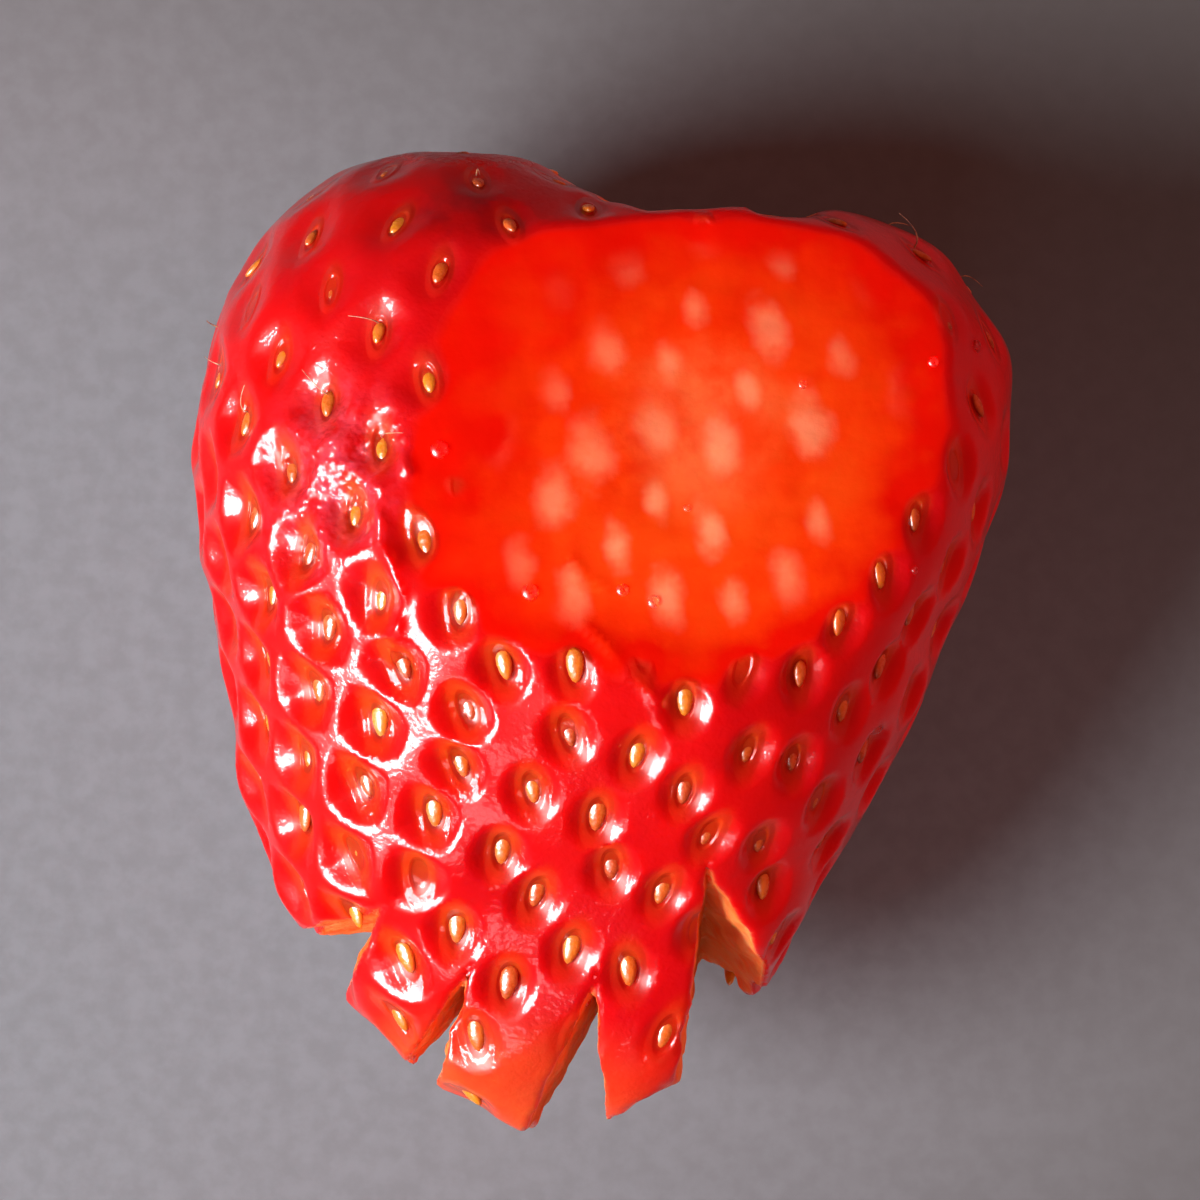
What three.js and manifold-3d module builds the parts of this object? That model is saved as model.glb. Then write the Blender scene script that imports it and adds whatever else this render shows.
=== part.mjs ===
// A hulled, sliced strawberry that lies on its back, in millimetres with +Z up.
// The stem end points to +Y, the tip to -Y, and the cut face looks up. The origin is under the
// middle of the berry, on the surface that it rests on.

import * as THREE from "three";
import { ConvexHull } from "three/addons/math/ConvexHull.js";
import { mergeVertices } from "three/addons/utils/BufferGeometryUtils.js";
import Module from "manifold-3d";

const wasm = await Module();
wasm.setup();

// The uncut berry: its radius from CENTRE every 22.5 degrees, from the stem end (0) to the tip (180).
const CENTRE = new THREE.Vector3(-0.2, 1.7, 15.2);
const LEFT_RADII = [19.8, 23.8, 24.0, 21.5, 19.0, 19.2, 21.4, 24.6, 25.6];
const RIGHT_RADII = [19.8, 20.5, 23.7, 21.8, 17.8, 16.5, 17.0, 20.8, 25.6];
const TOP_RADII = [19.8, 20.9, 19.0, 17.2, 17.1, 16.0, 16.6, 20.3, 25.6];
const UNDER_RADII = [19.8, 20.6, 19.8, 16.8, 15.5, 14.9, 16.4, 20.6, 25.6];
const ROUNDNESS = 2.2; // 2 makes each cross-section elliptical, more makes it squarer

// The seeds (achenes) and the pits that they sit in.
const SEED_COUNT = 320;
const SPREAD_STEPS = 60;
const SPREAD_REACH = 1.5; // how far a seed pushes its neighbours away, in seed spacings
const SPREAD_SHARE = 0.25;
const MEAN_RADIUS = 18.9; // of a ball with about the berry's skin area
const TRIANGLE_SHARE = 1.15; // spacing squared over area for seeds set in even triangles
const DRAW_SEED = 20;
const SEED_TURN = 0.3; // radians that a seed may turn from the line to the stem
const SEED_LENGTH = 1.5;
const SEED_WIDTH = 0.95;
const SEED_RISE = 0.5;
const PIT_DEPTH = 0.6;
const STEM_PIT_SHARE = 0.35; // pits are shallower round the stem end
const FLOOR_BAND = 1.6; // pits fade out this far above the resting surface

// The slice off the upper side, a shallow dome: its middle, its slope to the right and to the stem.
const SLICE_MIDDLE = new THREE.Vector3(3, 4, 28.9);
const SLICE_NORMAL = new THREE.Vector3(0.18, 0.23, 1).normalize();
const SLICE_RADIUS = 200;
const SLICE_REACH = 34;
const SLICE_THICKNESS = 20;
const SLICE_ARC_STEPS = 8;
const SLICE_SIDES = 44;

// The slots that make five fingers of the tip, and last the slanting cut across the end of the
// fourth finger. Each is a wedge seen from above at mid height: its inner end and two points on its
// walls, then how far it leans for each millimetre going down.
const MID_HEIGHT = 15;
const SLOT_REACH = 2.6; // walls run on this many times past their second point
const SLOTS = [
  { end: [-10.7, -14.0], walls: [[-14.9, -14.6], [-12.5, -17.4]], lean: [0, -0.1] },
  { end: [-5.6, -15.9], walls: [[-8.8, -20.1], [-7.5, -20.8]], lean: [0.07, -0.03] },
  { end: [0.2, -16.9], walls: [[-2.9, -22.8], [0.3, -23.1]], lean: [0.08, -0.01] },
  { end: [4.8, -14.0], walls: [[3.9, -20.0], [8.1, -17.6]], lean: [-0.02, -0.27] },
  { end: [0.2, -23.6], walls: [[0.2, -26.6], [4.4, -21.3]], lean: [0, 0] },
];
const CUTTER_HEIGHT = 60; // reaches from well below the berry to well above it

// The knife facets and the scalloped bite at the stem end, seen from above, and the small pit
// where the core was.
const STEM_CUT = [[-4.8, 26.3], [-3.8, 23.4], [0.1, 21.1], [2.0, 20.5], [6.8, 20.7], [9.6, 25.8]];
const SCALLOP_MIDDLE = [8.9, 24.7];
const SCALLOP_RADIUS = 4.45;
const SCALLOP_SIDES = 36;
const CORE_MOUTH = new THREE.Vector3(3.2, 21, 14.6);
const CORE_RADIUS = 2.1;
const CORE_NECK = 1.7; // its radius a millimetre in
const CORE_END_RADIUS = 0.5;
const CORE_DEPTH = 3.4;
const CORE_SIDES = 14;

// What is below the resting surface, cut away to make the flat spot.
const FLOOR_SIZE = 80;
const FLOOR_THICKNESS = 20;

const SKIN_COLOUR = 0xd90c08;

// Fourier weights of the closed curve through the radii of one side and, on the way back, the other.
function waves(side, otherSide) {
  const ring = [...side, ...otherSide.slice(1, -1).reverse()];
  const half = ring.length / 2;
  return Array.from({ length: half + 1 }, (_, k) => {
    const share = (k === 0 || k === half ? 1 : 2) / ring.length;
    const turn = (2 * Math.PI * k) / ring.length;
    return {
      cos: share * ring.reduce((sum, r, i) => sum + r * Math.cos(turn * i), 0),
      sin: share * ring.reduce((sum, r, i) => sum + r * Math.sin(turn * i), 0),
    };
  });
}

const WIDE = waves(LEFT_RADII, RIGHT_RADII);
const DEEP = waves(TOP_RADII, UNDER_RADII);

function alongWaves(weights, angle) {
  return weights.reduce(
    (sum, w, k) => sum + w.cos * Math.cos(k * angle) + w.sin * Math.sin(k * angle),
    0,
  );
}

// The uncut berry's radius in a direction: its outline seen from above and its outline seen from
// the side, blended round the stem-to-tip axis.
function bodyRadius(direction) {
  const d = direction.clone().normalize();
  const angle = Math.acos(THREE.MathUtils.clamp(d.y, -1, 1));
  const side = Math.hypot(d.x, d.z);
  const across = side > 1e-9 ? d.x / side : 1;
  const up = side > 1e-9 ? d.z / side : 0;
  const wide = alongWaves(WIDE, across < 0 ? angle : -angle);
  const deep = alongWaves(DEEP, up > 0 ? angle : -angle);
  const sum = Math.abs(across / wide) ** ROUNDNESS + Math.abs(up / deep) ** ROUNDNESS;
  return sum ** (-1 / ROUNDNESS);
}

function onBody(direction) {
  return direction.clone().normalize().multiplyScalar(bodyRadius(direction)).add(CENTRE);
}

// How far a point is from the uncut surface, along its ray: negative inside.
function bodyField(point) {
  const ray = point.clone().sub(CENTRE);
  return ray.length() - bodyRadius(ray);
}

function bodyNormal(point) {
  const step = 0.05;
  const slope = (axis) =>
    bodyField(point.clone().addScaledVector(axis, step)) -
    bodyField(point.clone().addScaledVector(axis, -step));
  return new THREE.Vector3(
    slope(new THREE.Vector3(1, 0, 0)),
    slope(new THREE.Vector3(0, 1, 0)),
    slope(new THREE.Vector3(0, 0, 1)),
  ).normalize();
}

// Repeatable draws between 0 and 1.
function makeDraw(seed) {
  let state = seed;
  return () => {
    state = (state * 1664525 + 1013904223) % 4294967296;
    return state / 4294967296;
  };
}

// Seed places: turns of the golden angle round the stem-to-tip axis, as a plant sets them, which
// then push each other apart along the surface until they are evenly spaced.
function seedPlaces() {
  const golden = Math.PI * (3 - Math.sqrt(5));
  const directions = Array.from({ length: SEED_COUNT }, (_, i) => {
    const y = 1 - (2 * i + 1) / SEED_COUNT;
    const ring = Math.sqrt(1 - y * y);
    return new THREE.Vector3(ring * Math.cos(i * golden), y, ring * Math.sin(i * golden));
  });
  let places = directions.map(onBody);
  const area = 4 * Math.PI * MEAN_RADIUS ** 2;
  const spacing = Math.sqrt((area / SEED_COUNT) * TRIANGLE_SHARE);
  const reach = SPREAD_REACH * spacing;
  for (let step = 0; step < SPREAD_STEPS; step++) {
    places = places.map((place) => {
      const push = new THREE.Vector3();
      for (const other of places) {
        const away = place.clone().sub(other);
        const distance = away.length();
        if (distance > 0 && distance < reach)
          push.addScaledVector(away, (reach - distance) / (distance * reach));
      }
      const moved = place.clone().addScaledVector(push, SPREAD_SHARE * spacing);
      return onBody(moved.sub(CENTRE));
    });
  }
  return places;
}

// How deep the pit at a place on the skin is: full on the waist, less at the stem end, and none
// where the berry rests.
function pitDepth(place) {
  const stem = THREE.MathUtils.smoothstep(place.y, 8, 19);
  const floor = THREE.MathUtils.smoothstep(place.z, 0.4, 0.4 + FLOOR_BAND);
  return PIT_DEPTH * floor * (1 - (1 - STEM_PIT_SHARE) * stem);
}

// A seed's skin points and their heights: a pointed oval at the pit's bottom and a short crest.
function seedPoints(place, draw) {
  const out = bodyNormal(place);
  const toStem = new THREE.Vector3(0, 1, 0).projectOnPlane(out).normalize();
  const along = toStem.applyAxisAngle(out, SEED_TURN * (2 * draw() - 1));
  const across = new THREE.Vector3().crossVectors(out, along);
  const depth = pitDepth(place);
  const at = (length, width, height) => ({
    direction: place
      .clone()
      .addScaledVector(along, (length * SEED_LENGTH) / 2)
      .addScaledVector(across, (width * SEED_WIDTH) / 2)
      .sub(CENTRE)
      .normalize(),
    height: height - depth,
  });
  return [
    at(1.1, 0, 0),
    at(0.45, 0.8, 0),
    at(-0.5, 1, 0),
    at(-1.1, 0, 0),
    at(-0.5, -1, 0),
    at(0.45, -0.8, 0),
    at(0.35, 0, SEED_RISE),
    at(-0.45, 0, SEED_RISE),
  ];
}

// The faces of the hull of points on a sphere, as triples of indices: an even net over them.
function netOver(directions) {
  const indexOf = new Map(directions.map((d, i) => [d, i]));
  return new ConvexHull().setFromPoints(directions).faces.map((face) => {
    const corners = [];
    let edge = face.edge;
    do {
      corners.push(indexOf.get(edge.head().point));
      edge = edge.next;
    } while (edge !== face.edge);
    return corners;
  });
}

// The skin between the pits stays at the berry's full size: one point between each three
// neighbouring seeds and one between each two.
function ridgePoints(places) {
  const directions = places.map((p) => p.clone().sub(CENTRE).normalize());
  const middles = [];
  for (const [a, b, c] of netOver(directions)) {
    const corners = [directions[a], directions[b], directions[c]];
    middles.push(new THREE.Vector3().add(corners[0]).add(corners[1]).add(corners[2]));
    [[a, b], [b, c], [c, a]]
      .filter(([from, to]) => from < to)
      .forEach(([from, to]) => middles.push(directions[from].clone().add(directions[to])));
  }
  return middles.map((m) => ({ direction: m.normalize(), height: 0 }));
}

// The whole berry before any cut, with its pits and seeds raised from the one skin.
function wholeBerry() {
  const draw = makeDraw(DRAW_SEED);
  const places = seedPlaces();
  const points = [...places.flatMap((p) => seedPoints(p, draw)), ...ridgePoints(places)];
  const directions = points.map((p) => p.direction);
  const positions = points.flatMap(({ direction, height }) => {
    const place = onBody(direction);
    return place.addScaledVector(bodyNormal(place), height).toArray();
  });
  const geometry = new THREE.BufferGeometry();
  geometry.setAttribute("position", new THREE.Float32BufferAttribute(positions, 3));
  geometry.setIndex(netOver(directions).flat());
  return geometry;
}

// What the slice takes away: all above a shallow dome.
function slicedOff() {
  const profile = Array.from({ length: SLICE_ARC_STEPS + 1 }, (_, i) => {
    const out = (SLICE_REACH * i) / SLICE_ARC_STEPS;
    return new THREE.Vector2(out, Math.sqrt(SLICE_RADIUS ** 2 - out ** 2) - SLICE_RADIUS);
  });
  profile.push(
    new THREE.Vector2(SLICE_REACH, SLICE_THICKNESS),
    new THREE.Vector2(0, SLICE_THICKNESS),
  );
  const turn = new THREE.Quaternion().setFromUnitVectors(new THREE.Vector3(0, 1, 0), SLICE_NORMAL);
  return new THREE.LatheGeometry(profile, SLICE_SIDES)
    .applyQuaternion(turn)
    .translate(SLICE_MIDDLE.x, SLICE_MIDDLE.y, SLICE_MIDDLE.z);
}

// An upright prism over an outline, as far below the level 0 as above it.
function prism(outline) {
  const shape = new THREE.Shape(outline.map(([x, y]) => new THREE.Vector2(x, y)));
  return new THREE.ExtrudeGeometry(shape, {
    depth: CUTTER_HEIGHT,
    bevelEnabled: false,
    steps: 1,
  }).translate(0, 0, -CUTTER_HEIGHT / 2);
}

function slotCut({ end, walls, lean }) {
  const mouths = walls.map(([x, y]) => [
    end[0] + (x - end[0]) * SLOT_REACH,
    end[1] + (y - end[1]) * SLOT_REACH,
  ]);
  const leaning = new THREE.Matrix4().set(
    1, 0, -lean[0], 0,
    0, 1, -lean[1], 0,
    0, 0, 1, 0,
    0, 0, 0, 1,
  );
  return prism([end, mouths[0], mouths[1]]).applyMatrix4(leaning).translate(0, 0, MID_HEIGHT);
}

function scallopCut() {
  return new THREE.CylinderGeometry(SCALLOP_RADIUS, SCALLOP_RADIUS, CUTTER_HEIGHT, SCALLOP_SIDES)
    .rotateX(Math.PI / 2)
    .translate(SCALLOP_MIDDLE[0], SCALLOP_MIDDLE[1], MID_HEIGHT);
}

function coreCut() {
  const profile = [
    [0, -1],
    [CORE_RADIUS, -1],
    [CORE_NECK, 1],
    [CORE_END_RADIUS, CORE_DEPTH],
    [0, CORE_DEPTH],
  ];
  return new THREE.LatheGeometry(
    profile.map(([out, along]) => new THREE.Vector2(out, along)),
    CORE_SIDES,
  )
    .rotateX(Math.PI)
    .translate(CORE_MOUTH.x, CORE_MOUTH.y, CORE_MOUTH.z);
}

function solid(geometry) {
  const bare = geometry.index ? geometry : geometry.clone();
  bare.deleteAttribute("normal");
  bare.deleteAttribute("uv");
  const merged = mergeVertices(bare, 1e-4);
  return new wasm.Manifold(
    new wasm.Mesh({
      numProp: 3,
      vertProperties: merged.attributes.position.array,
      triVerts: new Uint32Array(merged.index.array),
    }),
  );
}

function geometryOf(manifold) {
  const mesh = manifold.getMesh();
  const geometry = new THREE.BufferGeometry();
  geometry.setAttribute("position", new THREE.BufferAttribute(mesh.vertProperties, 3));
  geometry.setIndex(new THREE.BufferAttribute(mesh.triVerts, 1));
  return geometry;
}

function strawberry() {
  const belowFloor = new THREE.BoxGeometry(FLOOR_SIZE, FLOOR_SIZE, FLOOR_THICKNESS);
  const cuts = [
    slicedOff(),
    ...SLOTS.map(slotCut),
    prism(STEM_CUT).translate(0, 0, MID_HEIGHT),
    scallopCut(),
    coreCut(),
    belowFloor.translate(0, 0, -FLOOR_THICKNESS / 2),
  ];
  const berry = cuts.reduce((left, cut) => left.subtract(solid(cut)), solid(wholeBerry()));
  const material = new THREE.MeshStandardMaterial({
    color: SKIN_COLOUR,
    roughness: 0.3,
    metalness: 0,
    flatShading: true,
  });
  const mesh = new THREE.Mesh(geometryOf(berry), material);
  mesh.name = "strawberry";
  return mesh;
}

const group = new THREE.Group();
group.add(strawberry());

export default group;
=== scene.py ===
# %% [markdown]
# A hulled strawberry lies on its back. One flat slice is gone from its upper side, and its tip is
# cut into five fingers. This lesson grows its wet red skin, its pits, its seeds and its orange
# flesh round a solid that is already the right size.
#
# The solid is a fixed frame: it gives the size and the place of everything, and nothing here moves
# it. The berry is drawn again with a finer net, because a pit is only three millimetres wide.

# %% Load the fixed frame
import math

import bpy
import numpy as np
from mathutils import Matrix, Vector


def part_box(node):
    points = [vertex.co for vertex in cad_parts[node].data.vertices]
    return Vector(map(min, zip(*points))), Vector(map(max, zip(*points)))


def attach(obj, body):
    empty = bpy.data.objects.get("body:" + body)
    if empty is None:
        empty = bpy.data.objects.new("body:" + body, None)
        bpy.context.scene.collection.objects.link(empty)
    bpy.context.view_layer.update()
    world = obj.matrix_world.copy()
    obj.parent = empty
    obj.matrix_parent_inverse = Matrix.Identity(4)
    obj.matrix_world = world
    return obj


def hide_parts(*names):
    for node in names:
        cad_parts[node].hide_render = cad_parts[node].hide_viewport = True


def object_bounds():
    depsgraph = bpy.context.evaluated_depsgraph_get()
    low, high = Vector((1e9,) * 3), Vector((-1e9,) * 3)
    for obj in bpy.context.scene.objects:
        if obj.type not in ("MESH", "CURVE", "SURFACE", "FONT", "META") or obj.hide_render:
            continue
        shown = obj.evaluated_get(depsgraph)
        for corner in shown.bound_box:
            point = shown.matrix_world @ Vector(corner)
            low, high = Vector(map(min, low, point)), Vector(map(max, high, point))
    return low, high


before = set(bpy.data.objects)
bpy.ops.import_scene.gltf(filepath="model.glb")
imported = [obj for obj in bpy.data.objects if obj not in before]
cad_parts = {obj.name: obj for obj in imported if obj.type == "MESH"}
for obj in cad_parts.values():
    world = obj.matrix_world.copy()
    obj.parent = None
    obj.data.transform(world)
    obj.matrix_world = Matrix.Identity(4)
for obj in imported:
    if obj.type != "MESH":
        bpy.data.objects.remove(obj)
cad_low, cad_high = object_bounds()
MM = 0.001
print("frame, in mm:", [round((h - l) / MM, 1) for l, h in zip(cad_low, cad_high)])

# %% [markdown]
# The camera looks straight down, as a cook looks at a berry on a board. A long lens from half a
# metre away keeps the outline true, because a close lens would swell what is nearest to it.

# %% Camera
VIEW_WIDTH = 58.9 * MM  # how much of the berry's widest level the picture spans
VIEW_CENTRE = (-0.17 * MM, 1.72 * MM)
WIDEST_LEVEL = 15 * MM
CAMERA_HEIGHT = 0.55
SENSOR_MM = 36.0


def add_camera():
    data = bpy.data.cameras.new("camera")
    data.sensor_width = SENSOR_MM
    data.lens = SENSOR_MM * (CAMERA_HEIGHT - WIDEST_LEVEL) / VIEW_WIDTH
    data.clip_start = 0.01
    camera = bpy.data.objects.new("camera", data)
    camera.location = (*VIEW_CENTRE, CAMERA_HEIGHT)
    bpy.context.scene.collection.objects.link(camera)
    bpy.context.scene.camera = camera
    return camera


camera = add_camera()
print("lens:", round(camera.data.lens), "mm")

# %% [markdown]
# A strawberry has no straight line to measure from, so its body is a rule: for each direction from
# its centre, how far it is to the skin. The rule blends two outlines, the one seen from above and
# the one seen from the side. Each is a smooth closed wave through a few radii, 22.5 degrees apart.
# A rule like this can be asked about any point in space, which is what the finer net needs.

# %% The body's rule
CENTRE = np.array([-0.2, 1.7, 15.2])
LEFT_RADII = [19.8, 23.8, 24.0, 21.5, 19.0, 19.2, 21.4, 24.6, 25.6]
RIGHT_RADII = [19.8, 20.5, 23.7, 21.8, 17.8, 16.5, 17.0, 20.8, 25.6]
TOP_RADII = [19.8, 20.9, 19.0, 17.2, 17.1, 16.0, 16.6, 20.3, 25.6]
UNDER_RADII = [19.8, 20.6, 19.8, 16.8, 15.5, 14.9, 16.4, 20.6, 25.6]
ROUNDNESS = 2.2


def waves(side, other_side):
    ring = np.array(side + other_side[-2:0:-1])
    half = len(ring) // 2
    turns = 2 * np.pi * np.outer(np.arange(half + 1), np.arange(len(ring))) / len(ring)
    share = np.full(half + 1, 2.0)
    share[[0, half]] = 1.0
    return share * (np.cos(turns) @ ring) / len(ring), share * (np.sin(turns) @ ring) / len(ring)


WIDE = waves(LEFT_RADII, RIGHT_RADII)
DEEP = waves(TOP_RADII, UNDER_RADII)


def body_radius(rays):
    """Distance from the centre to the uncut skin along each ray."""
    length = np.maximum(np.linalg.norm(rays, axis=1), 1e-9)
    y = rays[:, 1] / length
    angle = np.arccos(np.clip(y, -1, 1))
    side = np.hypot(rays[:, 0], rays[:, 2])
    safe = np.maximum(side, 1e-9)
    across = np.where(side > 1e-9, rays[:, 0] / safe, 1.0)
    up = np.where(side > 1e-9, rays[:, 2] / safe, 0.0)
    wide, deep = np.zeros(len(rays)), np.zeros(len(rays))
    turned_wide = np.where(across < 0, 1.0, -1.0)
    turned_deep = np.where(up > 0, 1.0, -1.0)
    for k in range(len(WIDE[0])):
        cos, sin = np.cos(k * angle), np.sin(k * angle)
        wide += WIDE[0][k] * cos + WIDE[1][k] * turned_wide * sin
        deep += DEEP[0][k] * cos + DEEP[1][k] * turned_deep * sin
    total = np.abs(across / wide) ** ROUNDNESS + np.abs(up / deep) ** ROUNDNESS
    return total ** (-1 / ROUNDNESS)


def on_body(rays):
    rays = rays / np.linalg.norm(rays, axis=1, keepdims=True)
    return CENTRE + rays * body_radius(rays)[:, None]


def body_field(points):
    rays = points - CENTRE
    return np.linalg.norm(rays, axis=1) - body_radius(rays)


def slope_of(field, points, step=0.05):
    """The direction in which a field grows, and how fast, by small steps along each axis."""
    grown = [field(points + step * axis) - field(points - step * axis) for axis in np.eye(3)]
    return np.stack(grown, axis=1) / (2 * step)


def quick_slope(field, points, values, step=0.02):
    """The same from one side only, for a field whose values at the points are known."""
    grown = [field(points + step * axis) - values for axis in np.eye(3)]
    return np.stack(grown, axis=1) / step


def unit(vectors):
    return vectors / np.maximum(np.linalg.norm(vectors, axis=1, keepdims=True), 1e-12)


print("radius to the tip:", body_radius(np.array([[0.0, -1.0, 0.0]])).round(2))

# %% [markdown]
# Each seed is really a tiny dry fruit, an achene. They come in turns of the golden angle round the
# berry, and the flesh then swells and pushes them apart. The same two steps place them here: the
# golden angle sets them out, and sixty small pushes along the surface even out the gaps. There
# are no random places, so the seeds always fall where the solid has them.

# %% Where the seeds are
SEED_COUNT = 320
SPREAD_STEPS = 60
SPREAD_REACH = 1.5  # how far a seed pushes its neighbours away, in seed spacings
SPREAD_SHARE = 0.25
MEAN_RADIUS = 18.9  # of a ball with about the berry's skin area
TRIANGLE_SHARE = 1.15  # spacing squared over area for seeds set in even triangles
DRAW_SEED = 20
SEED_TURN = 0.3  # radians that a seed may turn from the line to the stem
SEED_LENGTH = 1.65
SEED_WIDTH = 0.8
STEM_SEED_LOSS = 0.24
RIGHT_SEED_LOSS = 0.2
TIP_SEED_GAIN = 0.1
SEED_STEM_SPAN = (6, 17)  # y over which the seeds turn into those of the stem end
SEED_RIGHT_SPAN = (-2, 12)  # x over which they turn into those of the right side
SEED_TIP_SPAN = (-20, -12)  # y over which those of the tip turn into the others


def smoothstep(x, low, high):
    t = np.clip((x - low) / (high - low), 0, 1)
    return t * t * (3 - 2 * t)


def seed_places():
    golden = math.pi * (3 - math.sqrt(5))
    i = np.arange(SEED_COUNT)
    y = 1 - (2 * i + 1) / SEED_COUNT
    ring = np.sqrt(1 - y * y)
    places = on_body(np.stack([ring * np.cos(i * golden), y, ring * np.sin(i * golden)], axis=1))
    spacing = math.sqrt(4 * math.pi * MEAN_RADIUS**2 / SEED_COUNT * TRIANGLE_SHARE)
    reach = SPREAD_REACH * spacing
    for _ in range(SPREAD_STEPS):
        away = places[:, None] - places[None]
        distance = np.linalg.norm(away, axis=2)
        near = (distance > 0) & (distance < reach)
        weight = np.where(near, (reach - distance) / np.maximum(distance * reach, 1e-9), 0)
        push = (away * weight[:, :, None]).sum(axis=1)
        places = on_body(places + push * SPREAD_SHARE * spacing - CENTRE)
    return places


def repeatable_draws(seed, count):
    draws, state = [], seed
    for _ in range(count):
        state = (state * 1664525 + 1013904223) % 4294967296
        draws.append(state / 4294967296)
    return np.array(draws)


def seed_axes(places):
    """For each seed: straight out of the skin, along the seed towards the stem, and across it."""
    out = unit(slope_of(body_field, places))
    to_stem = np.array([0.0, 1.0, 0.0]) - out * out[:, 1:2]
    to_stem = unit(to_stem)
    turn = SEED_TURN * (2 * repeatable_draws(DRAW_SEED, len(places)) - 1)[:, None]
    along = to_stem * np.cos(turn) + np.cross(out, to_stem) * np.sin(turn)
    return out, along, np.cross(out, along)


def seed_size(places):
    """Seeds near the stem and on the right side stay smaller, those at the tip grow larger."""
    stem = smoothstep(places[:, 1], *SEED_STEM_SPAN)
    right = smoothstep(places[:, 0], *SEED_RIGHT_SPAN)
    tip = 1 - smoothstep(places[:, 1], *SEED_TIP_SPAN)
    loss = STEM_SEED_LOSS * stem + RIGHT_SEED_LOSS * right * (1 - stem) * (1 - tip)
    return 1 - loss + TIP_SEED_GAIN * tip


PLACES = seed_places()
OUT, ALONG, ACROSS = seed_axes(PLACES)
SIZES = seed_size(PLACES)
print("seeds on the whole berry:", len(PLACES))

# %% [markdown]
# Every seed sits at the bottom of a pit, because the flesh swells round it and the seed doesn't.
# On the ripe left side the swollen flesh leaves only a narrow ridge between two pits, so the
# ridges make a net. On the right the pits are small ovals in broad skin, and round the stem end
# they are hardly there. So a point's place in its pit is measured in two ways, as an oval round
# the seed and as the share of the way to the next seed, and the two are mixed by where it is.

# %% Pits
PIT_DEPTH = 1.0
PIT_HALF_LENGTH = 1.95
PIT_HALF_WIDTH = 1.55
PIT_FLOOR = 0.3  # share of the pit that is flat, under the seed
STEM_PIT_SHARE = 0.3
RIGHT_PIT_SHARE = 0.6
TIP_PIT_SHARE = 0.5
NET_SHARE = 0.8  # how far the ridges make a net on the left side
SKIN_BAND = 1.5  # pits are only worked out this near to the skin
PIT_STEM_SPAN = (5, 16)  # y over which the pits turn into the shallow ones of the stem end
PIT_TIP_SPAN = (-21, -13)  # y over which those of the tip turn into the others
PIT_RIGHT_SPAN = (-12, 0)  # x over which they turn into those of the right side
PIT_FLOOR_SPAN = (0.4, 2.4)  # z over which they start, above where the berry rests
NET_SPAN = (-11, -2)  # x over which the net of ridges ends


def pit_depth(places):
    stem = smoothstep(places[:, 1], *PIT_STEM_SPAN)
    tip = 1 - smoothstep(places[:, 1], *PIT_TIP_SPAN)
    right = smoothstep(places[:, 0], *PIT_RIGHT_SPAN)
    floor = smoothstep(places[:, 2], *PIT_FLOOR_SPAN)
    share = (1 - (1 - STEM_PIT_SHARE) * stem) * (1 - (1 - TIP_PIT_SHARE) * tip)
    return PIT_DEPTH * floor * share * (1 - (1 - RIGHT_PIT_SHARE) * right)


PIT_DEPTHS = pit_depth(PLACES)


def two_nearest(points, targets, chunk=20000):
    """The two nearest targets of each point, and how far each is."""
    nearest = np.empty((len(points), 2), dtype=int)
    far = np.empty((len(points), 2))
    sizes = (targets**2).sum(axis=1)
    for start in range(0, len(points), chunk):
        part = points[start : start + chunk]
        square = sizes - 2 * part @ targets.T + (part**2).sum(axis=1, keepdims=True)
        pair = np.argpartition(square, 1, axis=1)[:, :2]
        nearest[start : start + chunk] = pair
        far[start : start + chunk] = np.sqrt(np.maximum(np.take_along_axis(square, pair, axis=1), 0))
    return nearest, far


def pit_relief(points):
    """Height over the smooth skin: 0 on the ridges, less in the pits."""
    height = np.zeros(len(points))
    nearest, far = two_nearest(points, PLACES)
    net = NET_SHARE * (1 - smoothstep(points[:, 0], *NET_SPAN))
    for seeds, distance in zip(nearest.T, far.T):
        offset = points - PLACES[seeds]
        along = (offset * ALONG[seeds]).sum(axis=1) / PIT_HALF_LENGTH
        across = (offset * ACROSS[seeds]).sum(axis=1) / PIT_HALF_WIDTH
        oval = np.hypot(along, across)
        way_over = 2 * distance / far.sum(axis=1)
        out = oval + (way_over - oval) * net
        height = np.minimum(height, -PIT_DEPTHS[seeds] * (1 - smoothstep(out, PIT_FLOOR, 1.0)))
    return height


print("deepest pit:", PIT_DEPTHS.max().round(2), "mm")

# %% [markdown]
# Nothing that grows is perfectly even. A little smooth noise swells the skin by a tenth of a
# millimetre here and there, and the same noise roughens what the knife has cut. It is a sum of
# waves in fixed directions, so it gives the same value at the same point each time.

# %% Smooth noise
NOISE_WAVES = 14
noise_source = np.random.default_rng(7)
NOISE_WAY = unit(noise_source.normal(size=(NOISE_WAVES, 3)))
NOISE_PHASE = noise_source.uniform(0, 2 * np.pi, NOISE_WAVES)
NOISE_RATE = noise_source.uniform(0.7, 1.5, NOISE_WAVES)


def noise(points, size):
    total = np.zeros(len(points))
    for way, phase, rate in zip(NOISE_WAY, NOISE_PHASE, NOISE_RATE):
        total += np.sin(points @ way * (2 * np.pi * rate / size) + phase)
    return total / math.sqrt(NOISE_WAVES / 2)


print("noise at the centre:", noise(CENTRE[None], 6.0).round(2))

# %% [markdown]
# Three kinds of cut shape what the plant grew. The slice is a very shallow dome, because a knife
# follows the hand. Each of the four slots at the tip is a wedge that leans, so one wall of it shows
# from above, and a fifth wedge takes the fourth finger's end off at a slant. The stem end has small
# knife facets, a scalloped bite and the pit of the core. Two cuts meet in a rounded edge, not a
# sharp one: wet flesh has no sharp edge, and a round one catches a thin line of light.

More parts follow.
